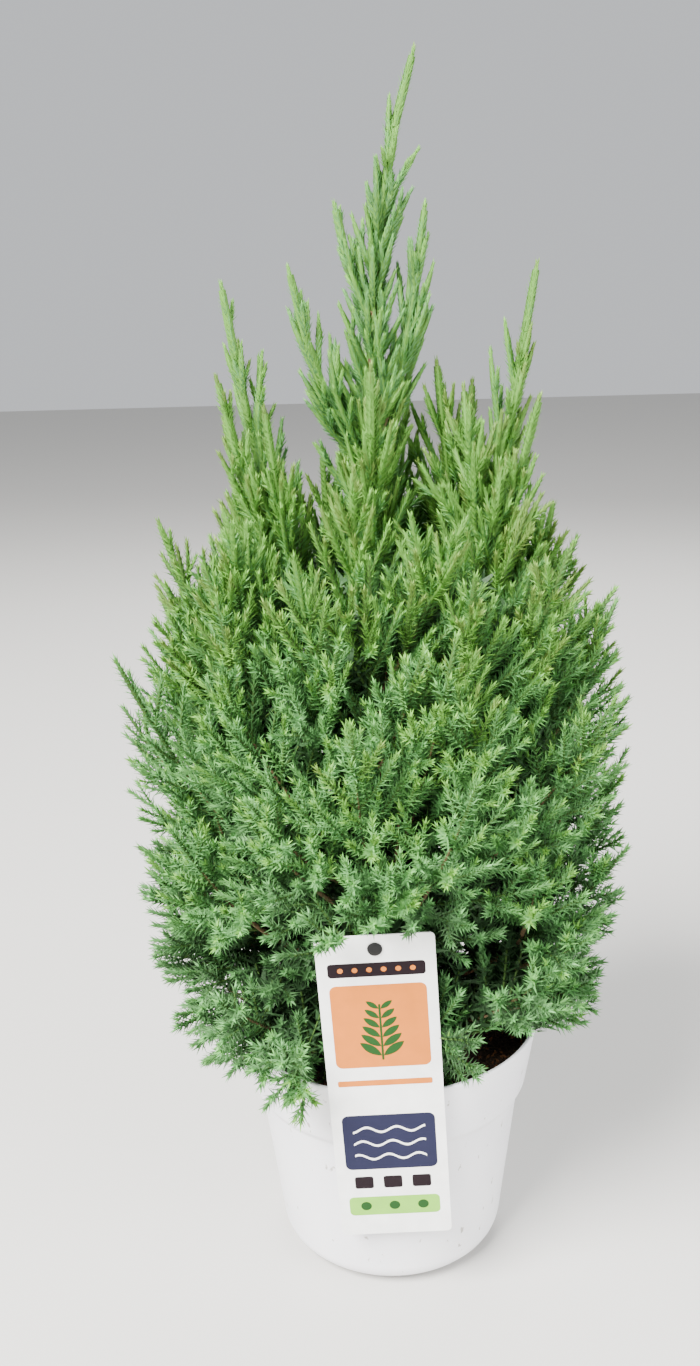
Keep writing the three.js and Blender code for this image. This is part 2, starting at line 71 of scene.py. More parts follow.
def randomFrom(seed):  # the same numbers on every run
    mask = 0xFFFFFFFF
    state = [seed & mask]

    def nextNumber():
        state[0] = (state[0] + 0x6D2B79F5) & mask
        mixed = ((state[0] ^ (state[0] >> 15)) * (state[0] | 1)) & mask
        mixed = ((mixed + (((mixed ^ (mixed >> 7)) * (mixed | 61)) & mask)) & mask) ^ mixed
        return (mixed ^ (mixed >> 14)) / 4294967296

    return nextNumber


def smoothStep(low, high, values):
    share = np.clip((values - low) / (high - low), 0, 1)
    return share * share * (3 - 2 * share)


def blend(low, high, share):
    return low + (high - low) * share


def drawnFrom(pair, draw):  # the first number, and up to the second one more
    return pair[0] + pair[1] * draw()


# Small helpers for objects

def newObject(name, mesh):
    made = bpy.data.objects.new(name, mesh)
    bpy.context.scene.collection.objects.link(made)
    return made


def meshFrom(name, points, faces=(), edges=()):
    mesh = bpy.data.meshes.new(name)
    mesh.from_pydata((np.asarray(points) * mm).tolist(), list(edges), list(faces))
    mesh.validate()
    return mesh


def finishPiece(piece, slotName, *nodes):
    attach(piece, "root")
    if nodes:
        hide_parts(*nodes)


def makePiece(name, mesh, material, slotName, *nodes):
    mesh.materials.clear()
    mesh.materials.append(material)
    finishPiece(newObject(name, mesh), slotName, *nodes)


def store(mesh, name, values):  # keeps one number or one vector for each point
    kind, field = ("FLOAT_VECTOR", "vector") if values.ndim > 1 else ("FLOAT", "value")
    mesh.attributes.new(name, kind, "POINT").data.foreach_set(field, values.ravel())


def closeWork(work, name):  # turns a bmesh into a mesh
    mesh = bpy.data.meshes.new(name)
    work.to_mesh(mesh)
    work.free()
    return mesh


def joinRings(low, high, count):  # the faces between two rings of points
    return [(low + k, high + k, high + (k + 1) % count, low + (k + 1) % count) for k in range(count)]


def smoothTo(mesh, angle):  # shades it smooth, but for edges sharper than this many degrees
    mesh.shade_smooth()
    mesh.set_sharp_from_angle(angle=math.radians(angle))


def bakedMesh(thing):  # with its modifiers applied
    bpy.context.view_layer.update()
    return bpy.data.meshes.new_from_object(thing.evaluated_get(bpy.context.evaluated_depsgraph_get()))


def applyTree(source, tree, values, name):  # runs a tree on an object and keeps the result as a plain mesh
    modifier = source.modifiers.new(name, "NODES")
    modifier.node_group = tree
    for item in tree.interface.items_tree:
        if item.item_type == "SOCKET" and item.in_out == "INPUT" and item.name in values:
            modifier[item.identifier] = values[item.name]
    mesh = bakedMesh(source)
    source.modifiers.clear()
    bpy.data.objects.remove(source)
    for slot in reversed(range(len(mesh.materials))):
        if mesh.materials[slot] is None:
            mesh.materials.pop(index=slot)
    mesh.name = name
    return newObject(name, mesh)


def newTree(name, inputs):
    tree = bpy.data.node_groups.new(name, "GeometryNodeTree")
    tree.interface.new_socket("Geometry", in_out="INPUT", socket_type="NodeSocketGeometry")
    for label, kind in inputs.items():
        tree.interface.new_socket(label, in_out="INPUT", socket_type="NodeSocket" + kind)
    tree.interface.new_socket("Geometry", in_out="OUTPUT", socket_type="NodeSocketGeometry")
    return tree


def addNode(tree, kind, settings=None, **links):  # a link is another node's socket or a plain value
    node = tree.nodes.new(kind)
    for key, value in (settings or {}).items():
        setattr(node, key, value)
    for key, value in links.items():
        socket = node.inputs[int(key[1:])] if key[0] == "i" and key[1:].isdigit() else node.inputs[key]
        if isinstance(value, bpy.types.NodeSocket):
            tree.links.new(value, socket)
        else:
            socket.default_value = value
    return node


def attribute(tree, name, kind="FLOAT"):
    return addNode(tree, "GeometryNodeInputNamedAttribute", {"data_type": kind}, Name=name).outputs[0]


def finishTree(tree, geometry, *coats):  # a coat is a material's socket, and the faces that it goes on
    last = addNode(tree, "GeometryNodeRealizeInstances", Geometry=geometry)
    for coat in coats:
        last = addNode(tree, "GeometryNodeSetMaterial", Geometry=last.outputs[0], **coat)
    addNode(tree, "NodeGroupOutput", Geometry=last.outputs[0])
    return tree


# Materials

def linear(red, green, blue):  # a screen colour, 0 to 255, as the shader wants it
    shares = [value / 255 for value in (red, green, blue)]
    return tuple(((c + 0.055) / 1.055) ** 2.4 if c > 10 / 255 else c / 12.92 for c in shares)


def shade(color, factor):  # a screen colour made lighter or darker
    return tuple(min(255, value * factor) for value in color)


def newMaterial(name, color, roughness, specular=0.5):
    material = bpy.data.materials.new(name)
    material.use_nodes = True
    shader = material.node_tree.nodes["Principled BSDF"]
    shader.inputs["Base Color"].default_value = (*linear(*color), 1)
    shader.inputs["Roughness"].default_value = roughness
    shader.inputs["Specular IOR Level"].default_value = specular
    return material, shader


def addPattern(material, scale, detail=3.0, stretch=(1, 1, 1)):  # noise that lies still on the object
    tree = material.node_tree
    place = addNode(tree, "ShaderNodeTexCoord").outputs["Object"]
    mapped = addNode(tree, "ShaderNodeMapping", Vector=place, Scale=stretch).outputs["Vector"]
    return addNode(tree, "ShaderNodeTexNoise", Vector=mapped, Scale=scale, Detail=detail).outputs["Fac"]


def addRamp(material, factor, stops):
    ramp = addNode(material.node_tree, "ShaderNodeValToRGB", Fac=factor)
    ramp.color_ramp.elements[0].position, ramp.color_ramp.elements[1].position = stops[0][0], stops[-1][0]
    for position, _ in stops[1:-1]:
        ramp.color_ramp.elements.new(position)
    for element, (_, color) in zip(ramp.color_ramp.elements, stops):
        element.color = (*linear(*color), 1)
    return ramp.outputs["Color"]


def addBump(material, shader, height, strength, distance):
    bump = addNode(material.node_tree, "ShaderNodeBump", Strength=strength, Distance=distance, Height=height)
    material.node_tree.links.new(bump.outputs["Normal"], shader.inputs["Normal"])


def patterned(name, color, roughness, specular, noiseSizes, stops):  # its base colour follows a noise
    material, shader = newMaterial(name, color, roughness, specular)
    pattern = addPattern(material, *noiseSizes)
    material.node_tree.links.new(addRamp(material, pattern, stops), shader.inputs["Base Color"])
    return material, shader, pattern


# The limbs, by the same rule and sizes as the solids

trunkSizes = {
    "foot": 137, "cut": 634, "top": 721, "lean": 25, "bow": 4.2,
    "footRadius": 6.4, "cutRadius": 1.2, "flare": 3.4, "flareHeight": 14,
}

crownOutline = np.array([
    [96, 100], [134, 120], [165, 142], [250, 156], [350, 158], [410, 148],
    [465, 128], [520, 106], [612, 94], [650, 40], [721, 32],
])

tiers = [
    {
        "name": "skirt", "count": 5, "turn": 222, "foot": 152, "reach": 114, "tip": 190,
        "girth": 50, "rise": 0.08, "radius": 2.4, "sprays": 5,
        "odd": {
            1: {"reach": 116, "tip": 172, "rise": -0.3},
            2: {"turn": 306, "reach": 108, "tip": 186},
            3: {"reach": 136, "tip": 166},
        },
    },
    {
        "name": "lower", "count": 5, "turn": 342, "foot": 168, "reach": 150, "tip": 288,
        "girth": 80, "rise": 0.25, "radius": 3.0, "sprays": 5,
        "odd": {5: {"foot": 216, "tip": 318, "reach": 146}},
    },
    {
        "name": "middle", "count": 6, "turn": 25, "foot": 200, "reach": 152, "tip": 392,
        "girth": 74, "rise": 0.35, "radius": 3.0, "sprays": 6,
        "odd": {1: {"reach": 156, "tip": 400}, 4: {"reach": 164, "tip": 414}},
    },
    {
        "name": "upper", "count": 5, "turn": 36, "foot": 262, "reach": 126, "tip": 478,
        "girth": 76, "rise": 0.4, "radius": 2.8, "sprays": 6, "odd": {},
    },
    {
        "name": "spire", "count": 3, "turn": 0, "foot": 316, "reach": 88, "tip": 600,
        "girth": 44, "rise": 0.5, "radius": 2.4, "sprays": 6,
        "odd": {
            1: {"turn": 0, "reach": 91, "tip": 612},
            2: {"turn": 180, "reach": 84, "tip": 606},
            3: {"turn": 78, "reach": 64, "tip": 576},
        },
    },
]

trunkPlumes = [
    {"turn": 180, "foot": 585, "reach": 20, "tip": 646, "girth": 24, "rise": 0.9, "sprays": 4},
    {"turn": 192, "foot": 500, "reach": 47, "tip": 613, "girth": 36, "rise": 0.6, "sprays": 5},
    {"turn": 352, "foot": 510, "reach": 30, "tip": 645, "girth": 38, "rise": 0.6, "sprays": 5},
    {"turn": 95, "foot": 440, "reach": 44, "tip": 585, "girth": 42, "rise": 0.5, "sprays": 5},
    {"turn": 268, "foot": 420, "reach": 48, "tip": 562, "girth": 46, "rise": 0.5, "sprays": 5},
    {"turn": 264, "foot": 166, "reach": 76, "tip": 240, "girth": 48, "rise": 0.2, "sprays": 4},
]

leader = {"name": "leader", "turn": 20, "girth": 32, "rise": 1.3, "sprays": 4}

limbDraws = {"turn": 10, "footStep": 7, "reach": (0.97, 0.06), "tip": 20}

plumeSizes = {
    "start": 0.36, "bendOut": 0.6, "bendUp": 0.2, "stemRadius": 1.6, "firstSpray": 0.03, "lastSpray": 0.83,
    "lowSpread": 62, "highSpread": 36, "tries": 3,
}


def trunkPoint(t):
    x = trunkSizes["lean"] * t ** 8 - trunkSizes["bow"] * np.sin(np.pi * t)
    z = blend(trunkSizes["foot"], trunkSizes["top"], t)
    return np.stack([x, np.zeros_like(x), z], axis=-1)


def trunkShare(height):
    return (height - trunkSizes["foot"]) / (trunkSizes["top"] - trunkSizes["foot"])


# Each bough forks inside its plume. A fork is a turn to the side in degrees, how much higher it ends, and
# how near the crown's outline.
forkPlans = {
    "skirt": [(22, 24, 0.96), (-20, 14, 0.8), (6, 46, 0.93), (-36, 38, 0.96)],
    "lower": [(20, 42, 1.0), (-20, -38, 0.98), (4, 58, 0.78), (-34, 20, 0.9)],
    "middle": [(22, 40, 1.0), (-22, -44, 1.0), (6, 66, 0.74), (-38, 22, 0.95)],
    "upper": [(32, -42, 1.0), (-26, -14, 0.97), (14, 34, 0.68), (-42, 14, 0.82), (46, 8, 0.9)],
    "spire": [(12, -54, 0.92), (-18, -74, 0.95), (32, -62, 0.7)],
    "upper_5": [(28, 74, 0.5)],
    "upper_1": [(-26, 88, 0.36)],
}
forkSizes = {
    "leaves": 0.3, "leavesStep": 0.06, "bendOut": 0.5, "bendUp": 0.25, "girth": 0.86, "start": 0.3,
    "inside": 3, "tip": 10, "turn": 8, "reach": (0.97, 0.05),
}


def curveTo(start, turn, reach, tip, sizes):  # out from the start, then up
    end = np.array([reach * math.cos(turn), reach * math.sin(turn), tip])
    bend = blend(start, end, sizes["bendOut"])
    bend[2] = blend(start[2], tip, sizes["bendUp"])
    return start, bend, end


def addForks(limbs):
    s = forkSizes
    forks = []
    for limb in limbs:
        plans = forkPlans.get(limb["name"].split("_")[0], []) + forkPlans.get(limb["name"], [])
        for number, (turn, rise, nearness) in enumerate(plans):
            seed = limb["seed"] + seeds["forks"] + number
            draw = randomFrom(seed)
            tip = limb["tip"] + rise + s["tip"] * (draw() - 0.5)
            reach = (crownRadius(tip) - s["inside"]) * nearness * drawnFrom(s["reach"], draw)
            angle = limb["turn"] + math.radians(turn + s["turn"] * (draw() - 0.5))
            start = limbPoint(limb, s["leaves"] + s["leavesStep"] * number)
            forks.append({
                **limb, "seed": seed, "turn": angle, "curve": curveTo(start, angle, reach, tip, s),
                "girth": limb["girth"] * s["girth"], "start": s["start"], "fork": True,
            })
    return forks


def planLimbs():
    limbs = []
    s = limbDraws
    for tierIndex, tier in enumerate(tiers, 1):
        for i in range(tier["count"]):
            draw = randomFrom(100 * tierIndex + i)
            limb = {
                **tier, "name": f"{tier['name']}_{i + 1}", "seed": 1000 * tierIndex + i,
                "turn": tier["turn"] + 360 * i / tier["count"] + s["turn"] * (draw() - 0.5),
                "foot": tier["foot"] + s["footStep"] * i,
                "reach": tier["reach"] * drawnFrom(s["reach"], draw),
                "tip": tier["tip"] + s["tip"] * (draw() - 0.5),
                "start": plumeSizes["start"], "bough": True,
            }
            limbs.append({**limb, **tier["odd"].get(i + 1, {})})
    for i, own in enumerate(trunkPlumes):
        seed = seeds["trunk"] + i
        limbs.append({**own, "name": f"trunk_{i + 1}", "seed": seed, "start": 0, "bough": False})
    for limb in limbs:
        limb["turn"] = math.radians(limb["turn"])
        foot = trunkPoint(np.array(trunkShare(limb["foot"])))
        limb["curve"] = curveTo(foot, limb["turn"], limb["reach"], limb["tip"], plumeSizes)
    limbs.append({
        **leader, "seed": seeds["leader"], "turn": math.radians(leader["turn"]), "curve": None,
        "start": trunkShare(trunkSizes["cut"]), "bough": False,
    })
    return limbs


def limbPoint(limb, t):
    t = np.asarray(t, float)
    if limb["curve"] is None:
        return trunkPoint(t)
    start, bend, end = limb["curve"]
    u = t[..., None]
    return (1 - u) ** 2 * start + 2 * (1 - u) * u * bend + u ** 2 * end


def acrossLimb(limb, t):
    along = unit(limbPoint(limb, t + 1e-4) - limbPoint(limb, t - 1e-4))
    level = np.array([-math.sin(limb["turn"]), math.cos(limb["turn"]), 0.0])
    rising = unit(np.cross(along, level))
    return along, np.cross(rising, along), rising


def crownRadius(height):
    return np.interp(height, crownOutline[:, 0], crownOutline[:, 1])


def crownDepth(point):  # 0 at the trunk, 1 at the crown's outside
    return math.hypot(point[0], point[1]) / crownRadius(point[2])


# Twigs: the rule's own places, then finer ones wherever there is room. A twig curves upwards and carries
# side shoots.

twigSizes = {
    "firstFine": -0.3,  # how far back along a limb's bough its finer twigs start
    "lastFine": 0.96,  # and how far along it they go
    "needleRoom": 8,  # a twig's end stays this far inside the crown's outline
    "crownShift": -3, "shortest": 12, "shrink": 0.93, "beside": 3,
    "room": 18.5,  # between the ends of two twigs, low in the crown
    "upperRoom": 12, "footRoom": 15.5,
    "innerRoom": 1.2, "innerDepth": 0.75, "edgeRoom": 0.1, "edgeDepth": 0.85,
    "twigRadius": 0.75, "sideRadius": 0.5, "limbRadius": 1.0, "upperThicker": 1.3, "limbThicker": 1.8,
}

# For each kind of limb: how many finer twigs it tries, how much of the rule's spread they keep, how fast
# the plume widens behind its end, the share of a twig's length that they have, and how far the limb's end
# stands out alone.
limbKinds = {
    "skirt": {"tries": 80, "spread": 1.0, "widening": 0.9, "length": 0.9, "bareTip": 5},
    "lower": {"tries": 60, "spread": 1.0, "widening": 0.9, "length": 1.0, "bareTip": 10},
    "middle": {"tries": 50, "spread": 0.95, "widening": 0.8, "length": 1.0, "bareTip": 13},
    "upper": {"tries": 50, "spread": 0.85, "widening": 0.6, "length": 0.95, "bareTip": 16},
    "spire": {"tries": 130, "spread": 0.6, "widening": 0.36, "length": 0.85, "bareTip": 36},
    "trunk": {"tries": 70, "spread": 0.6, "widening": 0.3, "length": 0.8, "bareTip": 24},
    "leader": {"tries": 30, "spread": 0.5, "widening": 0.3, "length": 0.8, "bareTip": 60},
}


def kindOf(limb):
    return limbKinds[limb["name"].split("_")[0]]


def splay(limb, t, spin, spread, rise):  # a direction off the limb
    along, level, rising = acrossLimb(limb, t)
    direction = along * math.cos(spread) + level * math.sin(spread) * math.cos(spin)
    return unit(direction + rising * math.sin(spread) * math.sin(spin) + upward * rise)


def twigOf(*values):
    return dict(zip(("base", "direction", "length", "lift", "tip"), values))


def twigFrom(limb, t, spin, spread, length, lift):  # shortened until it fits inside its plume and the crown
    kind, s = kindOf(limb), twigSizes
    direction = splay(limb, t, spin, spread, limb["rise"])
    base, end = limbPoint(limb, t), limbPoint(limb, 1.0)
    onward = unit(end - limbPoint(limb, 0.97))
    while length > s["shortest"]:
        tip = base + direction * length + upward * lift * length
        behind = (end - tip) @ onward
        beside = np.linalg.norm(tip - end + onward * behind)
        fits = behind > kind["bareTip"] and beside < s["beside"] + kind["widening"] * behind
        if fits and math.hypot(tip[0] - s["crownShift"], tip[1]) <= crownRadius(tip[2]) - s["needleRoom"]:
            return twigOf(base, direction, length, lift, tip)
        length *= s["shrink"]
    return None


def goldenPlace(i, draw):
    return i * 0.618034 + 0.1 * draw()


# The rule's own twigs and the finer ones. A pair is a value and what a random share adds to it. Only length
# loses its second number along the limb, and spread's first number comes off the random share.
twigRules = {
    "own": {
        "seed": 0, "spin": (0, 0.7), "spread": (0, 12), "length": (1.2, 0.4), "part": (0.85, 0.3),
        "lift": (0.14, 0.14),
    },
    "fine": {
        "seed": 500, "spin": (2, 1), "spread": (0.5, 16), "length": (1.3, 0.5), "part": (0.7, 0.5),
        "lift": (0.12, 0.16),
    },
}


def layTwigs(limb, rule, count, first, last, lengths, place):
    s = twigRules[rule]
    draw = randomFrom(limb["seed"] + s["seed"])
    made = []
    for i in range(count):
        share = place(i, draw) % 1
        t = blend(limb["start"], 1, blend(first, last, share))
        spin = i * goldenTurn + s["spin"][0] + s["spin"][1] * draw() + limb["turn"]
        spread = blend(plumeSizes["lowSpread"], plumeSizes["highSpread"], share)
        spread += s["spread"][1] * (draw() - s["spread"][0])
        length = limb["girth"] * (s["length"][0] - s["length"][1] * share) * lengths
        length *= drawnFrom(s["part"], draw)
        lift = drawnFrom(s["lift"], draw)
        made.append(twigFrom(limb, t, spin, math.radians(spread) * kindOf(limb)["spread"], length, lift))
    return [twig for twig in made if twig]


def ownTwigs(limb):
    s = plumeSizes
    count = limb["sprays"] * s["tries"]

    def place(i, draw):
        return (i + 0.5) * s["tries"] / count

    return layTwigs(limb, "own", count, s["firstSpray"], s["lastSpray"], 1, place)


def fineTwigs(limb):
    kind = kindOf(limb)
    first = twigSizes["firstFine"] if limb["bough"] and "fork" not in limb else 0.0
    return layTwigs(limb, "fine", kind["tries"], first, twigSizes["lastFine"], kind["length"], goldenPlace)


innerSizes = {
    "tries": 100, "room": 12.4, "nearest": 0.1, "farthest": 0.68, "highest": 440, "open": 60, "width": 3.5,
    "from": 0.12, "along": 0.72, "spread": (50, 25), "length": (22, 24), "rise": 0.25, "lift": 0.1,
}


def innerTwigs(limb):  # sparser twigs with longer needles in the darkest greens, painted shade, which close the crown's inside
    s = innerSizes
    if limb["name"] == "leader":
        return []
    draw = randomFrom(limb["seed"] + seeds["inner"])
    made = []
    for i in range(s["tries"]):
        t = s["from"] + s["along"] * (goldenPlace(i, draw) % 1)
        spin, spread = i * goldenTurn + 4 + draw(), math.radians(drawnFrom(s["spread"], draw))
        direction = splay(limb, t, spin, spread, s["rise"])
        base, length = limbPoint(limb, t), drawnFrom(s["length"], draw)
        tip = base + direction * length
        if s["nearest"] < crownDepth(tip) < s["farthest"] and tip[2] < s["highest"]:
            made.append({**twigOf(base, direction, length, s["lift"], tip), "inner": True})
    return made


leaderSprigs = {
    "from": 440, "to": 636, "step": 2.9,
    "length": (46, 25), "spread": (37, 22),  # of the lowest and of the highest sprig
    "part": (0.8, 0.4), "turnMore": 0.5, "lift": 0.06,
    "ends": [(11, 0, 694), (25, 3, 669), (3, -4, 663), (14, -8, 677), (12, 9, 656), (21, -5, 648)],
    "endsBelow": 30.0,  # where the sprigs with these ends leave the trunk
}


def growLeaderSprigs():  # short sprigs straight from the trunk, where it runs up through the crown
    draw = randomFrom(seeds["sprigs"])
    s = leaderSprigs
    sprigs = []
    count = int((s["to"] - s["from"]) / s["step"])
    for i in range(count):
        share = (i + draw()) / count
        t = trunkShare(blend(s["from"], s["to"], share))
        base = trunkPoint(np.array(t))
        along = unit(trunkPoint(np.array(t + 1e-3)) - base)
        turn = i * goldenTurn + s["turnMore"] * draw()
        spread = math.radians(blend(*s["spread"], share) * drawnFrom(s["part"], draw))
        out = np.array([math.cos(turn), math.sin(turn), 0.0])
        length = blend(*s["length"], share) * drawnFrom(s["part"], draw)
        direction = unit(along * math.cos(spread) + out * math.sin(spread))
        tip = base + direction * length
        sprigs.append(twigOf(base, direction, length, s["lift"], tip))
    for end in s["ends"]:
        base = trunkPoint(np.array(trunkShare(end[2] - s["endsBelow"])))
        reach, tip = np.array(end) - base, np.array(end)
        length = float(np.linalg.norm(reach))
        sprigs.append(twigOf(base, reach / length, length, 0, tip))
    return sprigs


def growTwigs(limbs):  # a finer twig grows only where its end has room
    s = twigSizes
    grown = [ownTwigs(limb) for limb in limbs]
    leaderIndex = [limb["name"] for limb in limbs].index("leader")
    grown[leaderIndex] += growLeaderSprigs()
    tips = np.array([twig["tip"] for twigs in grown for twig in twigs])

    def addWhereFree(index, twig, room):
        nonlocal tips
        if np.min(np.linalg.norm(tips - twig["tip"], axis=1)) > room:
            tips = np.vstack([tips, twig["tip"]])
            grown[index].append(twig)

    waiting = [(index, twig) for index, limb in enumerate(limbs) for twig in fineTwigs(limb)]
    waiting.sort(key=lambda pair: -crownDepth(pair[1]["tip"]))  # the outermost first
    for index, twig in waiting:
        height, depth = twig["tip"][2], crownDepth(twig["tip"])
        upper = upperShare(height)
        room = blend(s["room"], s["upperRoom"], upper)
        room += (s["footRoom"] - s["room"]) * footShare(height)
        inside = s["innerRoom"] * max(0, s["innerDepth"] - depth) * (1 - upper)
        room *= 1 + inside - s["edgeRoom"] * (depth > s["edgeDepth"])
        addWhereFree(index, twig, room)
    tips = np.array([twig["tip"] for twigs in grown for twig in twigs])
    for index, limb in enumerate(limbs):
        for twig in innerTwigs(limb):
            addWhereFree(index, twig, innerSizes["room"])
    return grown


limbNeedles = {"from": 0.3, "leaderFrom": 575, "short": 3.5, "part": 30, "sidesTo": 0.55}


def followLimb(limb):  # the limb's own needles, along its last part
    s = limbNeedles
    first = trunkShare(s["leaderFrom"]) if limb["name"] == "leader" else blend(limb["start"], 1, s["from"])
    length = np.linalg.norm(limbPoint(limb, 1.0) - limbPoint(limb, first))
    last = 1 - (1 - first) * s["short"] / length  # the end's own needles reach on to the limb's end
    points = limbPoint(limb, np.linspace(first, last, max(3, int(length / s["part"])) + 1))
    reaches = points[1:] - points[:-1]
    return [
        {"base": start, "direction": unit(reach), "length": float(np.linalg.norm(reach)), "lift": 0}
        for start, reach in zip(points, reaches)
    ]


shootKeys = (
    "base", "direction", "length", "lift", "open", "bare", "needle", "tone", "spin", "level", "close", "limb",
    "spacing", "parent",
)

# Each kind of shoot: the share of it that is bare, where its needles start to close up towards its tip, and
# how much of each is lost at the crown's top. Then its needles' length, with what the top and the foot add.
# A shoot that another one carries on, or an inner one, never closes up.
never = 2.0
shootKinds = {
    "limb": {"level": 0, "bare": (0.0, 0.0), "close": (0.6, 0.0), "needle": (6.9, 0.6, 0.0)},
    "twig": {"level": 1, "bare": (0.13, 0.6), "close": (0.6, 0.25), "needle": (6.7, 0.5, 1.1)},
    "inner": {"level": 1, "bare": (0.0, 0.0), "close": (never, 0.0), "needle": (11.0, -2.0, 0.0)},
    "side": {"level": 2, "bare": (0.06, 0.0), "close": (0.55, 0.3), "needle": (6.3, 0.8, 1.1)},
}


def dress(shoot, kind, upper, height):
    s = shootKinds[kind]
    shoot["level"] = s["level"]
    shoot["bare"] = s["bare"][0] * (1 - s["bare"][1] * upper)
    shoot["close"] = s["close"][0] - s["close"][1] * upper
    shoot["needle"] = s["needle"][0] + s["needle"][1] * upper + s["needle"][2] * footShare(height)
    return shoot


# Heights between which the foliage changes
bands = {
    "foot": (220, 330), "upper": (330, 560), "wider": (360, 560), "less": (330, 470), "least": (440, 590),
    "low": (220, 340), "rim": (150, 210), "top": (500, 600),
}


def risen(band, height):  # 0 below the band, 1 above it
    return smoothStep(*bands[band], height)


def footShare(height):  # 1 at the crown's foot, 0 from its middle up
    return 1 - risen("foot", height)


def upperShare(height):  # 0 low in the crown, 1 at its top
    return risen("upper", height)


sideSizes = {
    "step": 10, "upperStep": 14, "crowding": 0.75, "barest": 17,  # a shorter twig has no side shoots
    "depth": 0.55, "above": 450,  # only twigs farther out or higher up have them
    "first": 0.2, "along": 0.66, "jitter": 0.7, "share": 0.42, "long": 1.15, "loss": 0.8,
    "part": (0.85, 0.3), "shortest": 9, "longest": 28, "turnMore": 0.6, "spread": (28, 42),
    "upperCloser": 0.25, "rise": 0.15, "lift": (0.08, 0.1),
}


def growSides(twig, upper, draw):
    s = sideSizes
    base, direction, length, lift = twig["base"], twig["direction"], twig["length"], twig["lift"]
    across = unit(np.cross(direction, upward if abs(direction[2]) < 0.95 else np.array([1.0, 0, 0])))
    over = np.cross(across, direction)
    step = blend(s["step"], s["upperStep"], upper)
    sides = int(s["crowding"] * length / step) if length > s["barest"] else 0
    made = []
    for j in range(sides):
        share = s["first"] + s["along"] * (j + s["jitter"] * draw()) / sides
        sideLength = length * s["share"] * (s["long"] - s["loss"] * share) * drawnFrom(s["part"], draw)
        turn = j * goldenTurn + s["turnMore"] * draw()
        spread = math.radians(blend(*s["spread"], draw()) * (1 - s["upperCloser"] * upper))
        along = unit(direction + upward * 2 * lift * share)
        side = along * math.cos(spread) + (across * math.cos(turn) + over * math.sin(turn)) * math.sin(spread)
        start = base + direction * length * share + upward * lift * length * share ** 2
        made.append(dress({
            "base": start, "direction": unit(side + upward * s["rise"] * (1 - upper)), "share": share,
            "length": min(s["longest"], max(s["shortest"], sideLength)),
            "lift": drawnFrom(s["lift"], draw),
        }, "side", upper, start[2]))
    return made


openSizes = {"open": 52, "foot": 7, "less": 8, "least": 16}  # degrees


def openAngle(height):  # how far the needles stand off: wide low in the crown, close at its top
    s = openSizes
    angle = s["open"] + s["foot"] * footShare(height) - s["less"] * risen("less", height)
    return angle - s["least"] * risen("least", height)


# A shoot's tone picks its green: darker low in the crown and far inside it, which is painted shade, and
# lighter high up and outside.
toneSizes = {
    "twig": 2.2, "twigUpper": 2.3, "outside": 0.8, "outsideFrom": 0.5, "outsideTo": 0.95, "twigTop": 1.3,
    "low": 1.0, "rim": 0.4, "end": 0.55, "behind": 1.1, "behindReach": 90,
    "limb": 3.0, "limbUpper": 2.1, "limbFootShade": 0.9, "limbTop": 1.1, "inner": 0.2, "innerUpper": 0.6,
    "limbDraw": 0.8, "twigDraw": 1.5, "innerDraw": 0.4, "sideDraw": 0.9, "needleDraw": 0.5, "closing": 1.2,
}


def twigTone(tip, upper, depth, behind, drawn):  # behind is how far the twig ends from its limb's end
    s = toneSizes
    tone = s["twig"] + s["twigUpper"] * upper + s["twigDraw"] * (drawn - 0.5)
    # painted shade: twigs far inside the crown take darker greens, those near its outside lighter ones
    tone += s["outside"] * smoothStep(s["outsideFrom"], s["outsideTo"], depth)
    tone -= s["twigTop"] * risen("top", tip[2])
    # painted shade: darker low in the crown, under the upper boughs, and a little less dark again just above
    # the rim
    tone -= s["low"] * (1 - risen("low", tip[2])) - s["rim"] * (1 - risen("rim", tip[2]))
    return tone + (s["end"] - s["behind"] * min(1.0, behind / s["behindReach"]))


# How far apart the whorls are, as a share of their step
spacings = {
    "inner": 2.4, "hidden": 2.0, "shaded": 1.25, "hiddenDepth": 0.6, "shadedDepth": 0.7, "below": 430,
    "twigUpper": 0.25, "limbUpper": 0.35,
}


def twigSpacing(twig, upper, depth):
    s = spacings
    if "inner" in twig:
        return s["inner"]
    if depth < s["shadedDepth"] and twig["tip"][2] < s["below"]:
        return s["hidden"] if depth < s["hiddenDepth"] else s["shaded"]
    return 1 - s["twigUpper"] * upper


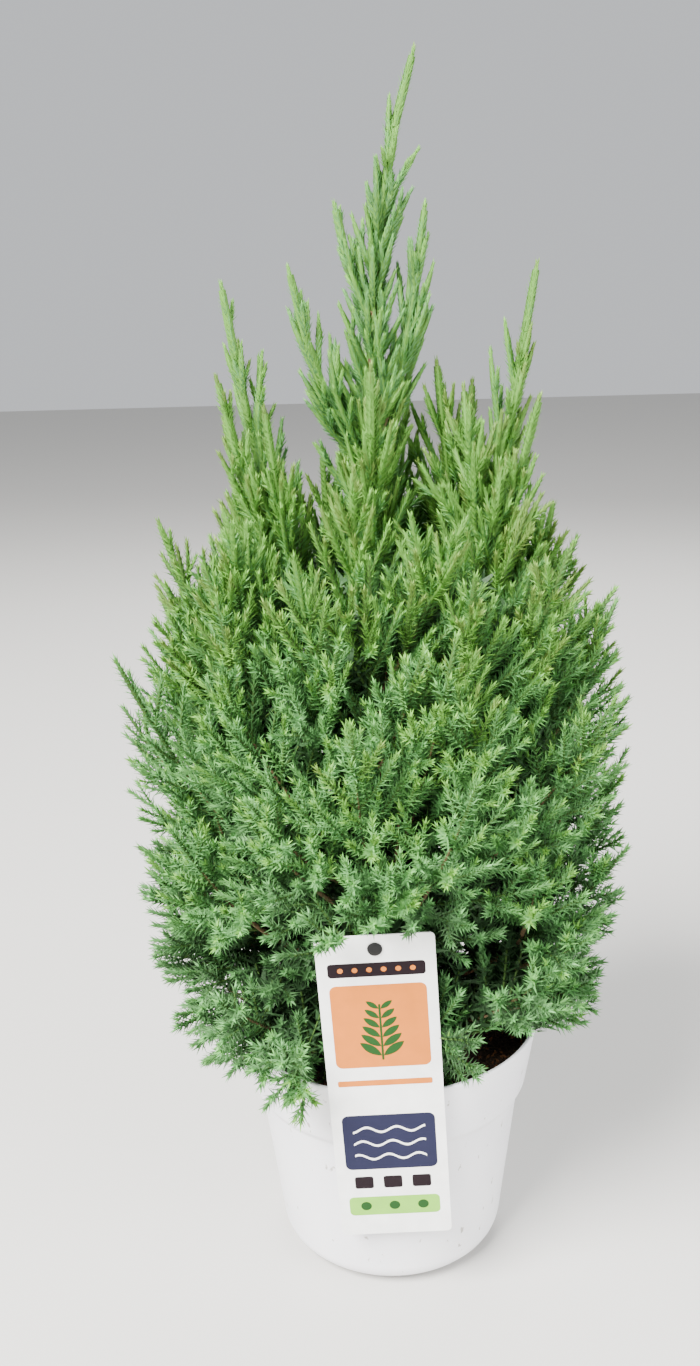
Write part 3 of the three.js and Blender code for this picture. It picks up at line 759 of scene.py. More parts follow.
def growShoots(limbs):
    draw = randomFrom(seeds["shoots"])
    s = toneSizes
    shoots = []

    def addFamily(family, parent, tone, sideDraw, **shared):  # a shoot and what grows on it
        own = len(shoots)
        for shoot in family:
            drawn = sideDraw * (draw() - 0.5) if sideDraw and shoot is not family[0] else 0
            line = parent if shoot is family[0] else own
            drawn = {"tone": tone + drawn, "spin": fullTurn * draw()}
            shoots.append({**shoot, "parent": line, **drawn, **shared})
        return own

    grown = growTwigs(limbs)
    print(f"{sum(len(twigs) for twigs in grown)} twigs")
    for limbIndex, limb in enumerate(limbs):
        limbTone = s["limbDraw"] * (draw() - 0.5)
        for twig in grown[limbIndex]:
            tip = twig["tip"]
            upper, depth = upperShare(tip[2]), crownDepth(tip)
            behind = np.linalg.norm(limbPoint(limb, 1.0) - tip)
            tone = twigTone(tip, upper, depth, behind, draw()) + limbTone
            family, angle = [dress(twig, "twig", upper, tip[2])], openAngle(tip[2])
            if "inner" in twig:
                # inner twigs take the darkest greens, painted shade inside the crown
                tone = s["inner"] + s["innerDraw"] * draw() + s["innerUpper"] * upper
                family, angle = [dress(twig, "inner", upper, tip[2])], innerSizes["open"]
            elif depth > sideSizes["depth"] or tip[2] > sideSizes["above"]:
                family += growSides(twig, upper, draw)
            spacing = twigSpacing(twig, upper, depth)
            addFamily(family, len(shoots), tone, s["sideDraw"], open=angle, limb=limbIndex, spacing=spacing)
        parts = followLimb(limb)
        before = len(shoots)
        for part in parts:
            height, isLast = part["base"][2], part is parts[-1]
            upper = upperShare(height)
            family = [dress(part, "limb", upper, height)]
            if not isLast:
                part["close"] = never
            if limb["name"] != "leader":
                sides = growSides(part, upper, draw)
                family += [side for side in sides if not isLast or side["share"] < limbNeedles["sidesTo"]]
            # painted shade: the limb's own green is darker at the crown's foot, under the upper boughs
            tone = s["limb"] + s["limbUpper"] * upper - s["limbFootShade"] * footShare(height) + limbTone
            tone -= s["limbTop"] * risen("top", height)
            spacing, angle = 1 - spacings["limbUpper"] * upper, openAngle(height)
            before = addFamily(family, before, tone, 0, open=angle, limb=limbIndex, spacing=spacing)
    return {key: np.array([shoot[key] for shoot in shoots], float) for key in shootKeys}


# Places that the foliage keeps out of: the pot, the compost and the label

labelSizes = {
    "width": 66, "length": 212, "thickness": 0.8, "corner": 3, "tilt": 7, "roll": 2.6,
    "middle": (-2, -96.9, 157), "holeRadius": 2.6, "holeBelow": 8.5,
}

potSizes = {
    "height": 154, "rimRadius": 95, "collarHeight": 42, "collarFootRadius": 88, "stepHeight": 3,
    "shoulderRadius": 83.5, "baseRadius": 71.5, "baseRound": 15, "wall": 2.4, "floor": 3,
    "holes": 6, "holeRadius": 5, "holeRing": 42, "segments": 112,
    "lip": 0.55, "lipHeight": 4.2, "rimHeight": 2.6, "shoulderDrop": 0.6, "collarFootRise": 1.2,
    "baseFlat": 0.93, "baseIn": 0.6, "bend": 0.55, "drill": 20, "sharpFrom": 38,
}

# The compost lies open in front, on the right, and only at the left does a bough hang over the rim.
clearSizes = {
    "rim": 4, "soil": 2, "openFrom": 46, "openBack": 8, "openRadius": 125, "openSlope": 0.6, "openUnder": 1,
    "rimFrom": 88, "overRim": 4, "droopTo": -40, "shoot": 2.0, "needle": 1.0,
}

labelPlace = (
    Matrix.Translation(Vector(labelSizes["middle"]))
    @ Matrix.Rotation(math.radians(90 + labelSizes["tilt"]), 4, "X")
    @ Matrix.Rotation(math.radians(labelSizes["roll"]), 4, "Z")
)


def isBlocked(points, margin):
    s = clearSizes
    inward = np.array(labelPlace.inverted())
    local = points @ inward[:3, :3].T + inward[:3, 3]
    overLabel = (
        (np.abs(local[:, 0]) < labelSizes["width"] / 2 + margin)
        & (np.abs(local[:, 1]) < labelSizes["length"] / 2 + margin)
        & (local[:, 2] > -margin)
    )
    x, y, height = points.T
    radius, rim, soil = np.hypot(x, y), potSizes["rimRadius"], trunkSizes["foot"]
    inWall = (radius > rim - s["rim"]) & (radius < rim + margin) & (height < potSizes["height"] + margin)
    inSoil = (radius < rim) & (height < soil + s["soil"])
    inOpen = (x > s["openFrom"]) & (y < s["openBack"]) & (radius < s["openRadius"])
    inOpen &= height < soil - s["openSlope"] * y - s["openUnder"]
    return overLabel | inWall | inSoil | inOpen


def shootPoint(shoots, index, share):
    length, share = shoots["length"][index][:, None], share[:, None]
    lift = shoots["lift"][index][:, None] * share
    along = shoots["direction"][index] * length * share
    return shoots["base"][index] + along + upward * lift * length * share


def shootTangent(shoots, index, share):
    return unit(shoots["direction"][index] + upward * (2 * shoots["lift"][index] * share)[:, None])


def clearShoots(shoots):  # a shoot goes when it meets one of these places, and so does what grows on it
    s = clearSizes
    everyone = np.arange(len(shoots["length"]))
    keep = np.ones(len(everyone), bool)
    for share in (0.2, 0.4, 0.6, 0.8, 1.0):
        points = shootPoint(shoots, everyone, np.full(len(everyone), share))
        x, y, height = points.T
        overRim = (np.hypot(x, y) > s["rimFrom"]) & (height < potSizes["height"] + s["overRim"])
        droops = (x < s["droopTo"]) & (y < 0)
        keep &= ~isBlocked(points, s["shoot"]) & ~(overRim & ~droops)
    parent = shoots["parent"].astype(int)
    for _ in range(6):  # enough steps from any shoot back to the first part of its limb
        keep &= keep[parent]
    return {key: values[keep] for key, values in shoots.items()}


# Needles, in whorls of three

needleSizes = {
    "step": 1.84,  # from one whorl to the next
    "fewest": 3, "first": 0.9, "crowding": 1.2, "jitter": 0.015, "turnMore": 0.35,
    "width": 1.6, "upperWider": 0.6, "footWider": 0.25, "thickness": 0.55,
    "sparse": 1.2, "sparseWider": 1.35, "sparser": 1.5,  # spacings from which needles are wider
    "tipOpen": 22, "upperTipOpen": 9, "footTipOpen": 6, "openMore": 12,  # degrees, at the shoot's end
    "tipLength": 0.76, "least": 0.88, "more": 0.24, "out": 0.2,
    "most": 48000,  # in one piece
}


def placeNeedles(shoots):
    s = needleSizes
    numbers = np.random.default_rng(seeds["needles"])
    length = shoots["length"]
    steps = s["step"] * shoots["spacing"]
    counts = np.maximum(s["fewest"], (length * (1 - shoots["bare"]) / steps).astype(int))
    index = np.repeat(np.arange(len(length)), counts * 3)
    own = {key: values[index] for key, values in shoots.items()}
    whorl = np.concatenate([np.repeat(np.arange(n), 3) for n in counts])
    member = np.tile(np.arange(3), counts.sum())
    share = 1 - (1 - (whorl + s["first"]) / counts[index]) ** s["crowding"]  # closer towards the end
    share = blend(own["bare"], 1, share)
    share = np.clip(share - s["jitter"] * numbers.random(len(share)), 0, 1)
    tangent = shootTangent(shoots, index, share)
    reference = np.where(np.abs(tangent[:, 2:3]) < 0.9, upward, np.array([1.0, 0, 0]))
    across = unit(np.cross(tangent, reference))
    over = np.cross(across, tangent)
    turn = own["spin"] + whorl * math.pi / 3 + member * 2 * math.pi / 3
    turn += s["turnMore"] * (numbers.random(len(turn)) - 0.5)
    radial = across * np.cos(turn)[:, None] + over * np.sin(turn)[:, None]
    closing = np.where(own["close"] < 1, smoothStep(own["close"], 1.0, share), 0)
    upper, low = risen("wider", own["base"][:, 2]), footShare(own["base"][:, 2])
    tipOpen = blend(s["tipOpen"], s["upperTipOpen"], upper) + s["footTipOpen"] * low
    angle = own["open"] * (1 - closing) + tipOpen * closing
    angle = np.radians(angle + s["openMore"] * (numbers.random(len(angle)) - 0.5))[:, None]
    direction = unit(tangent * np.cos(angle) + radial * np.sin(angle))
    pale = unit(tangent * np.sin(angle) - radial * np.cos(angle))
    size = own["needle"] * (1 - (1 - s["tipLength"]) * closing)
    size *= s["least"] + s["more"] * numbers.random(len(size))
    width = s["width"] + s["upperWider"] * upper + s["footWider"] * low
    width = np.where(own["spacing"] > s["sparse"], s["sparseWider"] * width, width)
    width = np.where(own["spacing"] > s["sparser"], innerSizes["width"], width)
    base = shootPoint(shoots, index, share) + radial * s["out"]
    tone = own["tone"] + toneSizes["closing"] * closing
    tone += toneSizes["needleDraw"] * (numbers.random(len(size)) - 0.5)
    margin = clearSizes["needle"]
    keep = ~(isBlocked(base + direction * size[:, None], margin) | isBlocked(base, margin))
    made = {
        "base": base, "direction": direction, "pale": pale, "size": size, "tone": tone, "limb": own["limb"],
        "width": width,
    }
    return {key: values[keep] for key, values in made.items()}


def eulerFrom(xAxis, yAxis, zAxis):
    level = np.hypot(xAxis[:, 0], xAxis[:, 1])
    return np.stack([
        np.arctan2(yAxis[:, 2], zAxis[:, 2]),
        np.arctan2(-xAxis[:, 2], level),
        np.arctan2(xAxis[:, 1], xAxis[:, 0]),
    ], axis=-1)


def needleTree():
    tree = newTree("needles", {"Thickness": "Float", "Back": "Material", "Face": "Material"})
    given = addNode(tree, "NodeGroupInput").outputs
    cone = addNode(
        tree, "GeometryNodeMeshCone", {"fill_type": "NGON"}, Vertices=3, Depth=1.0,
        **{"Side Segments": 1, "Radius Top": 0.0, "Radius Bottom": 1.0},
    )
    normal = addNode(tree, "GeometryNodeInputNormal")
    parts = addNode(tree, "ShaderNodeSeparateXYZ", i0=normal.outputs[0])
    isFace = addNode(
        tree, "FunctionNodeCompare", {"data_type": "FLOAT", "operation": "LESS_THAN"},
        i0=parts.outputs["X"], i1=-0.4,
    )
    marked = addNode(
        tree, "GeometryNodeStoreNamedAttribute", {"data_type": "BOOLEAN", "domain": "FACE"},
        Geometry=cone.outputs["Mesh"], Name="upperFace", Value=isFace.outputs[0],
    )
    turned = addNode(tree, "FunctionNodeEulerToRotation", i0=attribute(tree, "turned", "FLOAT_VECTOR"))
    scale = addNode(
        tree, "ShaderNodeCombineXYZ",
        X=given["Thickness"], Y=attribute(tree, "needleWidth"), Z=attribute(tree, "needleLength"),
    )
    placed = addNode(
        tree, "GeometryNodeInstanceOnPoints",
        Points=given["Geometry"], Instance=marked.outputs["Geometry"],
        Rotation=turned.outputs[0], Scale=scale.outputs[0],
    )
    upper = attribute(tree, "upperFace", "BOOLEAN")
    face = {"Selection": upper, "Material": given["Face"]}
    return finishTree(tree, placed.outputs[0], {"Material": given["Back"]}, face)


# The colours of the needles from deep in the crown to its newest tips. Each has a green back and a paler
# upper face, and goes to the needles whose tone is up to its number.
# The two darkest greens stand for painted shade, inside the crown and low in it.
needleColours = [
    {"name": "DeepShade", "upTo": 1.0, "back": (44, 70, 40), "face": (52, 80, 48)},
    {"name": "Shade", "upTo": 1.7, "back": (52, 86, 47), "face": (62, 97, 56)},
    {"name": "Blue", "upTo": 2.5, "back": (71, 111, 62), "face": (76, 120, 68)},
    {"name": "Leaf", "upTo": 3.3, "back": (86, 133, 78), "face": (91, 146, 82)},
    {"name": "Bright", "upTo": 4.2, "back": (90, 141, 76), "face": (98, 155, 80)},
    {"name": "Fresh", "upTo": 5.4, "back": (97, 147, 63), "face": (109, 161, 67)},
    {"name": "Tip", "upTo": 99, "back": (96, 128, 56), "face": (112, 143, 64)},
]


def needleMaterial(name, color):
    return patterned(
        name, color, 0.55, 0.22, (260.0, 2.0), [(0.35, shade(color, 0.9)), (0.65, shade(color, 1.07))],
    )[0]


def makeNeedles(needles, limbs):
    tree = needleTree()
    side = np.cross(needles["direction"], -needles["pale"])
    turned = eulerFrom(-needles["pale"], side, needles["direction"])
    group = np.searchsorted([tone["upTo"] for tone in needleColours], needles["tone"])
    for number, tone in enumerate(needleColours):
        given = {
            "Thickness": needleSizes["thickness"] / 1.5 * mm,  # its triangle is 1.5 radii thick
            "Back": needleMaterial(f"needle{tone['name']}Back", tone["back"]),
            "Face": needleMaterial(f"needle{tone['name']}Face", tone["face"]),
        }
        members = np.flatnonzero(group == number)
        parts = math.ceil(len(members) / needleSizes["most"])
        for part in range(parts):
            own = members[part::parts]
            name = f"needles{tone['name']}{part + 1}"
            mesh = meshFrom("points", needles["base"][own])
            store(mesh, "turned", turned[own])
            store(mesh, "needleLength", needles["size"][own] * mm)
            store(mesh, "needleWidth", needles["width"][own] / math.sqrt(3) * mm)
            piece = applyTree(newObject("points", mesh), tree, given, name)
            plumes = {f"plume_{limbs[int(index)]['name']}" for index in needles["limb"][own]}
            finishPiece(piece, "needles", *sorted(plumes))
            print(f"{name}: {len(own)} needles")
    print(f"needles in all: {len(group)}")


# Green twigs and brown stems, as tapered tubes along paths

def tubeTree():
    tree = newTree("tubes", {"Sides": "Int", "Surface": "Material"})
    given = addNode(tree, "NodeGroupInput").outputs
    curve = addNode(tree, "GeometryNodeMeshToCurve", Mesh=given["Geometry"])
    circle = addNode(tree, "GeometryNodeCurvePrimitiveCircle", Resolution=given["Sides"], Radius=1.0)
    tube = addNode(
        tree, "GeometryNodeCurveToMesh", Curve=curve.outputs[0], Scale=attribute(tree, "thick"),
        **{"Profile Curve": circle.outputs[0], "Fill Caps": True},
    )
    return finishTree(tree, tube.outputs[0], {"Material": given["Surface"]})


def makeTubes(name, paths, radii, sides, material, tree):
    count, steps = paths.shape[:2]
    edges = [(i * steps + j, i * steps + j + 1) for i in range(count) for j in range(steps - 1)]
    mesh = meshFrom("paths", paths.reshape(-1, 3), edges=edges)
    store(mesh, "thick", radii.ravel() * mm)
    piece = applyTree(newObject("paths", mesh), tree, {"Sides": sides, "Surface": material}, name)
    finishPiece(piece, "bark")


# For each level of shoot: its tube's name, the places of its rings, how it tapers there, and its sizes
twigLevels = [
    ("limbEnds", [0, 0.5, 0.97], [1, 1, 0.8], "limbRadius", "limbThicker"),
    ("twigs", [0, 0.4, 0.8, 0.96], [1, 1, 0.95, 0.66], "twigRadius", "upperThicker"),
    ("sideShoots", [0, 0.94], [1, 0.5], "sideRadius", "upperThicker"),
]
twigColours = {"freshFrom": 430, "green": (64, 92, 42), "fresh": (82, 124, 50), "brown": (110, 90, 62)}
stemSizes = {"last": 0.86, "back": 0.04, "least": 0.1, "margin": 2.0, "taper": 0.7, "rings": 10, "sides": 5}
carriedOn = 0.98  # a shoot that never closes up keeps this much of its thickness all along


def plumeStem(limb):  # the path of a plume's brown stem, cut short before a place that is kept clear
    s = stemSizes
    shares, last = np.linspace(0, 1, s["rings"]), s["last"]
    path = limbPoint(limb, blend(limb["start"], last, shares))
    while isBlocked(path, s["margin"]).any() and last > s["least"]:
        last -= s["back"]
        path = limbPoint(limb, blend(limb["start"], last, shares))
    return path if last > limb["start"] + s["least"] else None


def makeTwigs(shoots, limbs):
    tree, c = tubeTree(), twigColours
    named = (("twigGreen", c["green"]), ("twigFresh", c["fresh"]))
    greens = [newMaterial(name, color, 0.6, 0.2)[0] for name, color in named]
    isFresh = shoots["base"][:, 2] > c["freshFrom"]
    for level, (name, shares, taper, radius, thicker) in enumerate(twigLevels):
        for part in (0, 1):
            index = np.flatnonzero((shoots["level"] == level) & (isFresh == part))
            paths = np.stack([shootPoint(shoots, index, np.full(len(index), s)) for s in shares], axis=1)
            upper = upperShare(paths[:, -1, 2])[:, None]
            tapers = np.where((shoots["close"][index] > 1)[:, None], carriedOn, np.array(taper))
            radii = (twigSizes[radius] + twigSizes[thicker] * upper) * tapers
            makeTubes(name + ("", "Upper")[part], paths, radii, 3, greens[part], tree)
    noiseSizes, stops = (900.0, 4.0, (1, 1, 0.3)), [(0.3, (84, 66, 44)), (0.7, (136, 112, 78))]
    brown = patterned("twigBrown", c["brown"], 0.75, 0.5, noiseSizes, stops)[0]
    paths = [path for path in map(plumeStem, limbs) if path is not None]
    radii = plumeSizes["stemRadius"] * (1 - stemSizes["taper"] * np.linspace(0, 1, stemSizes["rings"]))
    makeTubes("plumeStems", np.array(paths), np.tile(radii, len(paths)), stemSizes["sides"], brown, tree)


# Bark: the trunk and the boughs, with ridges and flakes in the mesh

barkSizes = {
    "ridges": 9, "ridge": 0.5, "flake": 0.35, "relief": 0.22,
    "twist": 0.012, "waver": 2.2, "flakeLength": 0.07, "ridgeLength": 0.02, "across": (0.31, 0.95, 0.05),
    "trunkRings": 190, "trunkSides": 28, "boughRings": 26, "boughSides": 12, "boughEnd": 1.03,
}


def barkTube(points, radii, sides, seed):
    s = barkSizes
    along = unit(np.gradient(points, axis=0))
    across = unit(np.cross(along, np.array(s["across"])))
    over = np.cross(along, across)
    runs = np.concatenate([[0], np.cumsum(np.linalg.norm(np.diff(points, axis=0), axis=1))])
    vertices = []
    for i, run in enumerate(runs):
        waver = s["waver"] * noise.noise((0, run * s["ridgeLength"], seed))
        for angle in np.linspace(0, 2 * math.pi, sides, endpoint=False):
            c, v = math.cos(angle), math.sin(angle)
            ridge = abs(math.sin(s["ridges"] * 0.5 * (angle + run * s["twist"]) + waver))
            flake = noise.noise((c * s["waver"], v * s["waver"], run * s["flakeLength"] + seed))
            radius = radii[i] * (1 + s["relief"] * (s["ridge"] * (ridge - 0.5) + s["flake"] * flake))
            vertices.append(points[i] + across[i] * radius * c + over[i] * radius * v)
    faces = [tuple(range(sides))[::-1], tuple(range(len(vertices) - sides, len(vertices)))]
    for i in range(len(points) - 1):
        faces += joinRings((i + 1) * sides, i * sides, sides)
    return vertices, faces


def barkMaterial():
    stops = [(0.3, (62, 44, 34)), (0.5, (112, 80, 56)), (0.72, (158, 122, 90))]
    material, shader, strips = patterned("bark", (110, 80, 58), 0.85, 0.3, (420.0, 5.0, (1, 1, 0.16)), stops)
    addBump(material, shader, strips, 0.5, 0.0006)
    return material


def outward(mesh):  # merges doubles and turns every face outwards
    work = bmesh.new()
    work.from_mesh(mesh)
    bmesh.ops.remove_doubles(work, verts=work.verts, dist=1e-7)
    bmesh.ops.recalc_face_normals(work, faces=work.faces)
    work.to_mesh(mesh)
    work.free()
    return mesh


def makeBark(limbs):
    s, b = trunkSizes, barkSizes
    heights = np.linspace(s["foot"], s["cut"], b["trunkRings"])
    above = heights - s["foot"]
    radii = s["footRadius"] + (s["cutRadius"] - s["footRadius"]) * above / (s["cut"] - s["foot"])
    radii += s["flare"] * np.exp(-above / s["flareHeight"])
    boughs = [limb for limb in limbs if limb["bough"] and "fork" not in limb]
    tubes, shares = [], np.linspace(0.0, 1.0, b["boughRings"])
    for number, limb in enumerate(boughs):
        taper = blend(limb["radius"], plumeSizes["stemRadius"], shares)
        path = limbPoint(limb, limb["start"] * b["boughEnd"] * shares)
        tubes.append((path, taper, b["boughSides"], 10 + number))
    material = barkMaterial()
    for name, tubes, nodes in (
        ("trunkBark", [(trunkPoint(trunkShare(heights)), radii, b["trunkSides"], 1)], ["trunk"]),
        ("boughBark", tubes, [f"bough_{limb['name']}" for limb in boughs]),
    ):
        vertices, faces = [], []
        for tube in tubes:
            own, rings = barkTube(*tube)
            faces += [tuple(len(vertices) + v for v in face) for face in rings]
            vertices += own
        mesh = outward(meshFrom(name, vertices, faces))
        mesh.shade_smooth()
        makePiece(name, mesh, material, "bark", *nodes)


# The pot

def latheMesh(name, profile, segments):
    work = bmesh.new()
    row = [work.verts.new((x * mm, 0, z * mm)) for x, z in profile]
    edges = [work.edges.new(pair) for pair in zip(row, row[1:])]
    bmesh.ops.spin(work, geom=row + edges, axis=(0, 0, 1), cent=(0, 0, 0), angle=2 * math.pi, steps=segments)
    return outward(closeWork(work, name))


def rounded(corners, steps=5):  # rounds each corner of an outline; a corner is a place and its radius
    points = [np.array(place, float) for place, _ in corners]
    made = [points[0]]
    for before, corner, after, (_, radius) in zip(points, points[1:], points[2:], corners[1:]):
        arms = before - corner, after - corner
        cut = min(radius, *(np.linalg.norm(arm) * 0.49 for arm in arms))
        first, last = (corner + unit(arm) * cut for arm in arms)
        for u in np.linspace(0, 1, steps + 1):
            made.append((1 - u) ** 2 * first + 2 * (1 - u) * u * corner + u * u * last)
    return made + [points[-1]]


def makePot():
    s = potSizes
    shoulder = s["height"] - s["collarHeight"] - s["stepHeight"] - s["shoulderDrop"]
    collarFoot = s["height"] - s["collarHeight"] + s["collarFootRise"]
    bend = s["baseRound"] * s["bend"]
    mesh = latheMesh("potShell", rounded([
        ((0, 0), 0),
        ((s["baseRadius"] - s["baseRound"] * s["baseFlat"], 0), 2),
        ((s["baseRadius"] - s["baseIn"], bend), 14),
        ((s["shoulderRadius"], shoulder), 2.4),
        ((s["collarFootRadius"], collarFoot), 3.0),
        ((s["rimRadius"] - s["lip"], s["height"] - s["lipHeight"]), 1.0),
        ((s["rimRadius"], s["height"] - s["rimHeight"]), 1.2),
        ((s["rimRadius"], s["height"]), 1.3),
        ((s["rimRadius"] - s["wall"], s["height"]), 1.1),
        ((s["collarFootRadius"] - s["wall"], collarFoot), 2.4),
        ((s["shoulderRadius"] - s["wall"], shoulder), 2.4),
        ((s["baseRadius"] - s["wall"], bend + s["floor"]), 12),
        ((s["baseRadius"] - s["baseRound"], s["floor"]), 2),
        ((0, s["floor"]), 0),
    ]), s["segments"])
    work = bmesh.new()
    size = s["holeRadius"] * mm
    for i in range(s["holes"]):
        angle = (i + 0.5) / s["holes"] * 2 * math.pi
        place = Vector((s["holeRing"] * math.cos(angle), s["holeRing"] * math.sin(angle), 0)) * mm
        bmesh.ops.create_cone(
            work, cap_ends=True, segments=32, radius1=size, radius2=size, depth=s["drill"] * mm,
            matrix=Matrix.Translation(place),
        )
    shell, drill = newObject("shell", mesh), newObject("drill", closeWork(work, "drill"))
    cut = shell.modifiers.new("holes", "BOOLEAN")
    cut.operation, cut.solver, cut.object = "DIFFERENCE", "EXACT", drill
    mesh = outward(bakedMesh(shell))
    for tool in (shell, drill):
        bpy.data.objects.remove(tool)
    smoothTo(mesh, s["sharpFrom"])
    makePiece("potShell", mesh, potMaterial(), "pot_plastic", "pot")


potLook = {
    "plastic": (238, 237, 240), "roughness": 0.34,
    "tint": [(0.3, (231, 230, 235)), (0.7, (243, 242, 244))], "tintNoise": (14.0,),
    "dirt": (176, 170, 164), "dirtNoise": (240.0, 4.0, (1, 1, 0.5)), "dirtFrom": 0.675, "dirtTo": 0.72,
    "rubNoise": (60.0, 5.0, (1, 1, 0.25)), "smoothest": 0.26, "roughest": 0.46, "relief": (0.06, 0.0005),
}


def potMaterial():
    s = potLook
    material, shader = newMaterial("potPlastic", s["plastic"], s["roughness"])
    tree = material.node_tree
    tint = addRamp(material, addPattern(material, *s["tintNoise"]), s["tint"])
    specks = addPattern(material, *s["dirtNoise"])
    dirt = addRamp(material, specks, [(s["dirtFrom"], (0, 0, 0)), (s["dirtTo"], (255, 255, 255))])
    dirtColor = (*linear(*s["dirt"]), 1)
    mixed = addNode(tree, "ShaderNodeMix", {"data_type": "RGBA"}, i0=dirt, i6=tint, i7=dirtColor)
    tree.links.new(mixed.outputs[2], shader.inputs["Base Color"])
    rub = addPattern(material, *s["rubNoise"])
    limits = {"To Min": s["smoothest"], "To Max": s["roughest"]}
    rough = addNode(tree, "ShaderNodeMapRange", Value=rub, **limits)
    tree.links.new(rough.outputs[0], shader.inputs["Roughness"])
    addBump(material, shader, rub, *s["relief"])
    return material


# The compost

soilSizes = {
    "top": 137, "edge": 88.6, "sides": [(85.0, 112), (80.4, 107), (68.4, 19), (55.6, 3.3)],
    "flat": 12, "rise": 16, "fall": 8, "leastFall": 0.25,  # it is flat at the trunk and lower at the edge
    "wave": (0.07, 0.09), "swell": 2.4, "lump": 0.16, "grain": 1.6, "rings": 44, "segments": 120,
    "chips": 900, "chipsBelow": 7,
    "chipKinds": [  # share of the chips, smallest and largest, colour, seed
        ("chipsBark", 0.6, (0.7, 1.9), (112, 76, 52), 11),
        ("chipsPeat", 0.4, (0.5, 1.5), (38, 28, 22), 12),
    ],
}


def soilHeight(x, y):
    s = soilSizes
    distance = math.hypot(x, y)
    level = min(1.0, max(0.0, (distance - s["flat"]) / s["rise"]))
    level *= min(1.0, max(s["leastFall"], (s["edge"] - distance) / s["fall"]))
    wave = math.sin(s["wave"][0] * x) * math.cos(s["wave"][1] * y + 1) * s["swell"]
    lumps = noise.fractal((x * s["lump"], y * s["lump"], 3.1), 0.7, 2.1, 5)
    return s["top"] + (wave + lumps * s["grain"]) * level


def makeSoil():
    s = soilSizes
    n = s["segments"]
    vertices = [(0, 0, soilHeight(0, 0))]
    for radius in (s["edge"] * ring / s["rings"] for ring in range(1, s["rings"] + 1)):
        for k in range(n):
            angle = 2 * math.pi * k / n
            x, y = radius * math.cos(angle), radius * math.sin(angle)
            vertices.append((x, y, soilHeight(x, y)))
    faces = [(0, 1 + k, 1 + (k + 1) % n) for k in range(n)]
    for ring in range(s["rings"] - 1):
        faces += joinRings(1 + ring * n, 1 + (ring + 1) * n, n)
    for radius, height in s["sides"]:
        last = len(vertices) - n
        scale = radius / math.hypot(*vertices[last][:2])
        vertices += [(x * scale, y * scale, height) for x, y, _ in vertices[last:]]
        faces += joinRings(last, last + n, n)
    faces.append(tuple(range(len(vertices) - n, len(vertices))))
    mesh = outward(meshFrom("compost", vertices, faces))
    stops = [(0.3, (26, 20, 17)), (0.55, (64, 49, 40)), (0.78, (118, 90, 68))]
    material, shader, grain = patterned("compost", (48, 38, 31), 0.95, 0.2, (700.0, 6.0), stops)
    addBump(material, shader, grain, 0.8, 0.001)
    mesh.shade_smooth()
    makePiece("compost", mesh, material, "compost", "soil")
    makeChips(mesh)


chipShape = {"dent": 0.35, "least": (0.9, 0.4, 0.22), "most": (2.2, 0.9, 0.55)}


def chipTree():
    numbers = {"Count": "Float", "Smallest": "Float", "Largest": "Float", "Seed": "Int"}
    tree = newTree("chips", {**numbers, "Surface": "Material"})
    given = addNode(tree, "NodeGroupInput").outputs

    def drawn(low, high, seed):
        kind = {"data_type": "FLOAT_VECTOR"}
        return addNode(tree, "FunctionNodeRandomValue", kind, Min=low, Max=high, Seed=seed).outputs[0]

    points = addNode(
        tree, "GeometryNodeDistributePointsOnFaces",
        Mesh=given["Geometry"], Density=given["Count"], Seed=given["Seed"],
    )
    chip = addNode(tree, "GeometryNodeMeshIcoSphere", Radius=1.0, Subdivisions=1)
    dent = chipShape["dent"]
    dents = drawn((-dent,) * 3, (dent,) * 3, 5)
    rough = addNode(tree, "GeometryNodeSetPosition", Geometry=chip.outputs[0], Offset=dents)
    spun = addNode(tree, "FunctionNodeEulerToRotation", i0=drawn((0,) * 3, (fullTurn,) * 3, 6))
    size = addNode(
        tree, "FunctionNodeRandomValue", {"data_type": "FLOAT"},
        i2=given["Smallest"], i3=given["Largest"], Seed=7,
    )
    scale = addNode(
        tree, "ShaderNodeVectorMath", {"operation": "SCALE"},
        i0=drawn(chipShape["least"], chipShape["most"], 8), Scale=size.outputs[1],
    )
    placed = addNode(
        tree, "GeometryNodeInstanceOnPoints",
        Points=points.outputs[0], Instance=rough.outputs[0], Rotation=spun.outputs[0], Scale=scale.outputs[0],
    )
    return finishTree(tree, placed.outputs[0], {"Material": given["Surface"]})


def makeChips(soil):
    tree = chipTree()
    area = math.pi * (soilSizes["edge"] * mm) ** 2
    for name, share, (small, large), color, seed in soilSizes["chipKinds"]:
        stops = [(0.3, shade(color, 0.6)), (0.7, shade(color, 1.35))]
        work = bmesh.new()
        work.from_mesh(soil)
        lowest = (soilSizes["top"] - soilSizes["chipsBelow"]) * mm
        hidden = [face for face in work.faces if face.calc_center_median().z < lowest]
        bmesh.ops.delete(work, geom=hidden, context="FACES")
        piece = applyTree(newObject("soilTop", closeWork(work, "soilTop")), tree, {
            "Count": soilSizes["chips"] * share / area, "Smallest": small * mm, "Largest": large * mm,
            "Seed": seed, "Surface": patterned(name, color, 0.9, 0.2, (500.0, 4.0), stops)[0],
        }, name)
        finishPiece(piece, "compost")


# The label and its peg

pegSizes = {
    "width": 6, "depth": 2, "above": 10, "buried": 24, "footOut": 80, "footLeft": 4, "gap": 0.3,
    "round": 0.45, "neckRadius": 1.9, "neckOver": 0.1, "sharpFrom": 35,
    "head": [(0, 0), (3.9, 0), (4.2, 0.25), (4.1, 0.7), (3.4, 1.15), (2.2, 1.38), (0, 1.42)],
}

labelPrint = {
    "raise": 0.07, "sunk": 0.02, "margin": 6,
    "peach": (204, 116, 42), "slate": (33, 34, 56), "plum": (26, 16, 21),
    "green": (132, 190, 70), "white": (246, 246, 243), "leaf": (32, 70, 30),
}


def onLabel(work, name):
    bmesh.ops.recalc_face_normals(work, faces=work.faces)
    mesh = closeWork(work, name)
    mesh.transform(Matrix.Scale(mm, 4) @ labelPlace)
    return mesh


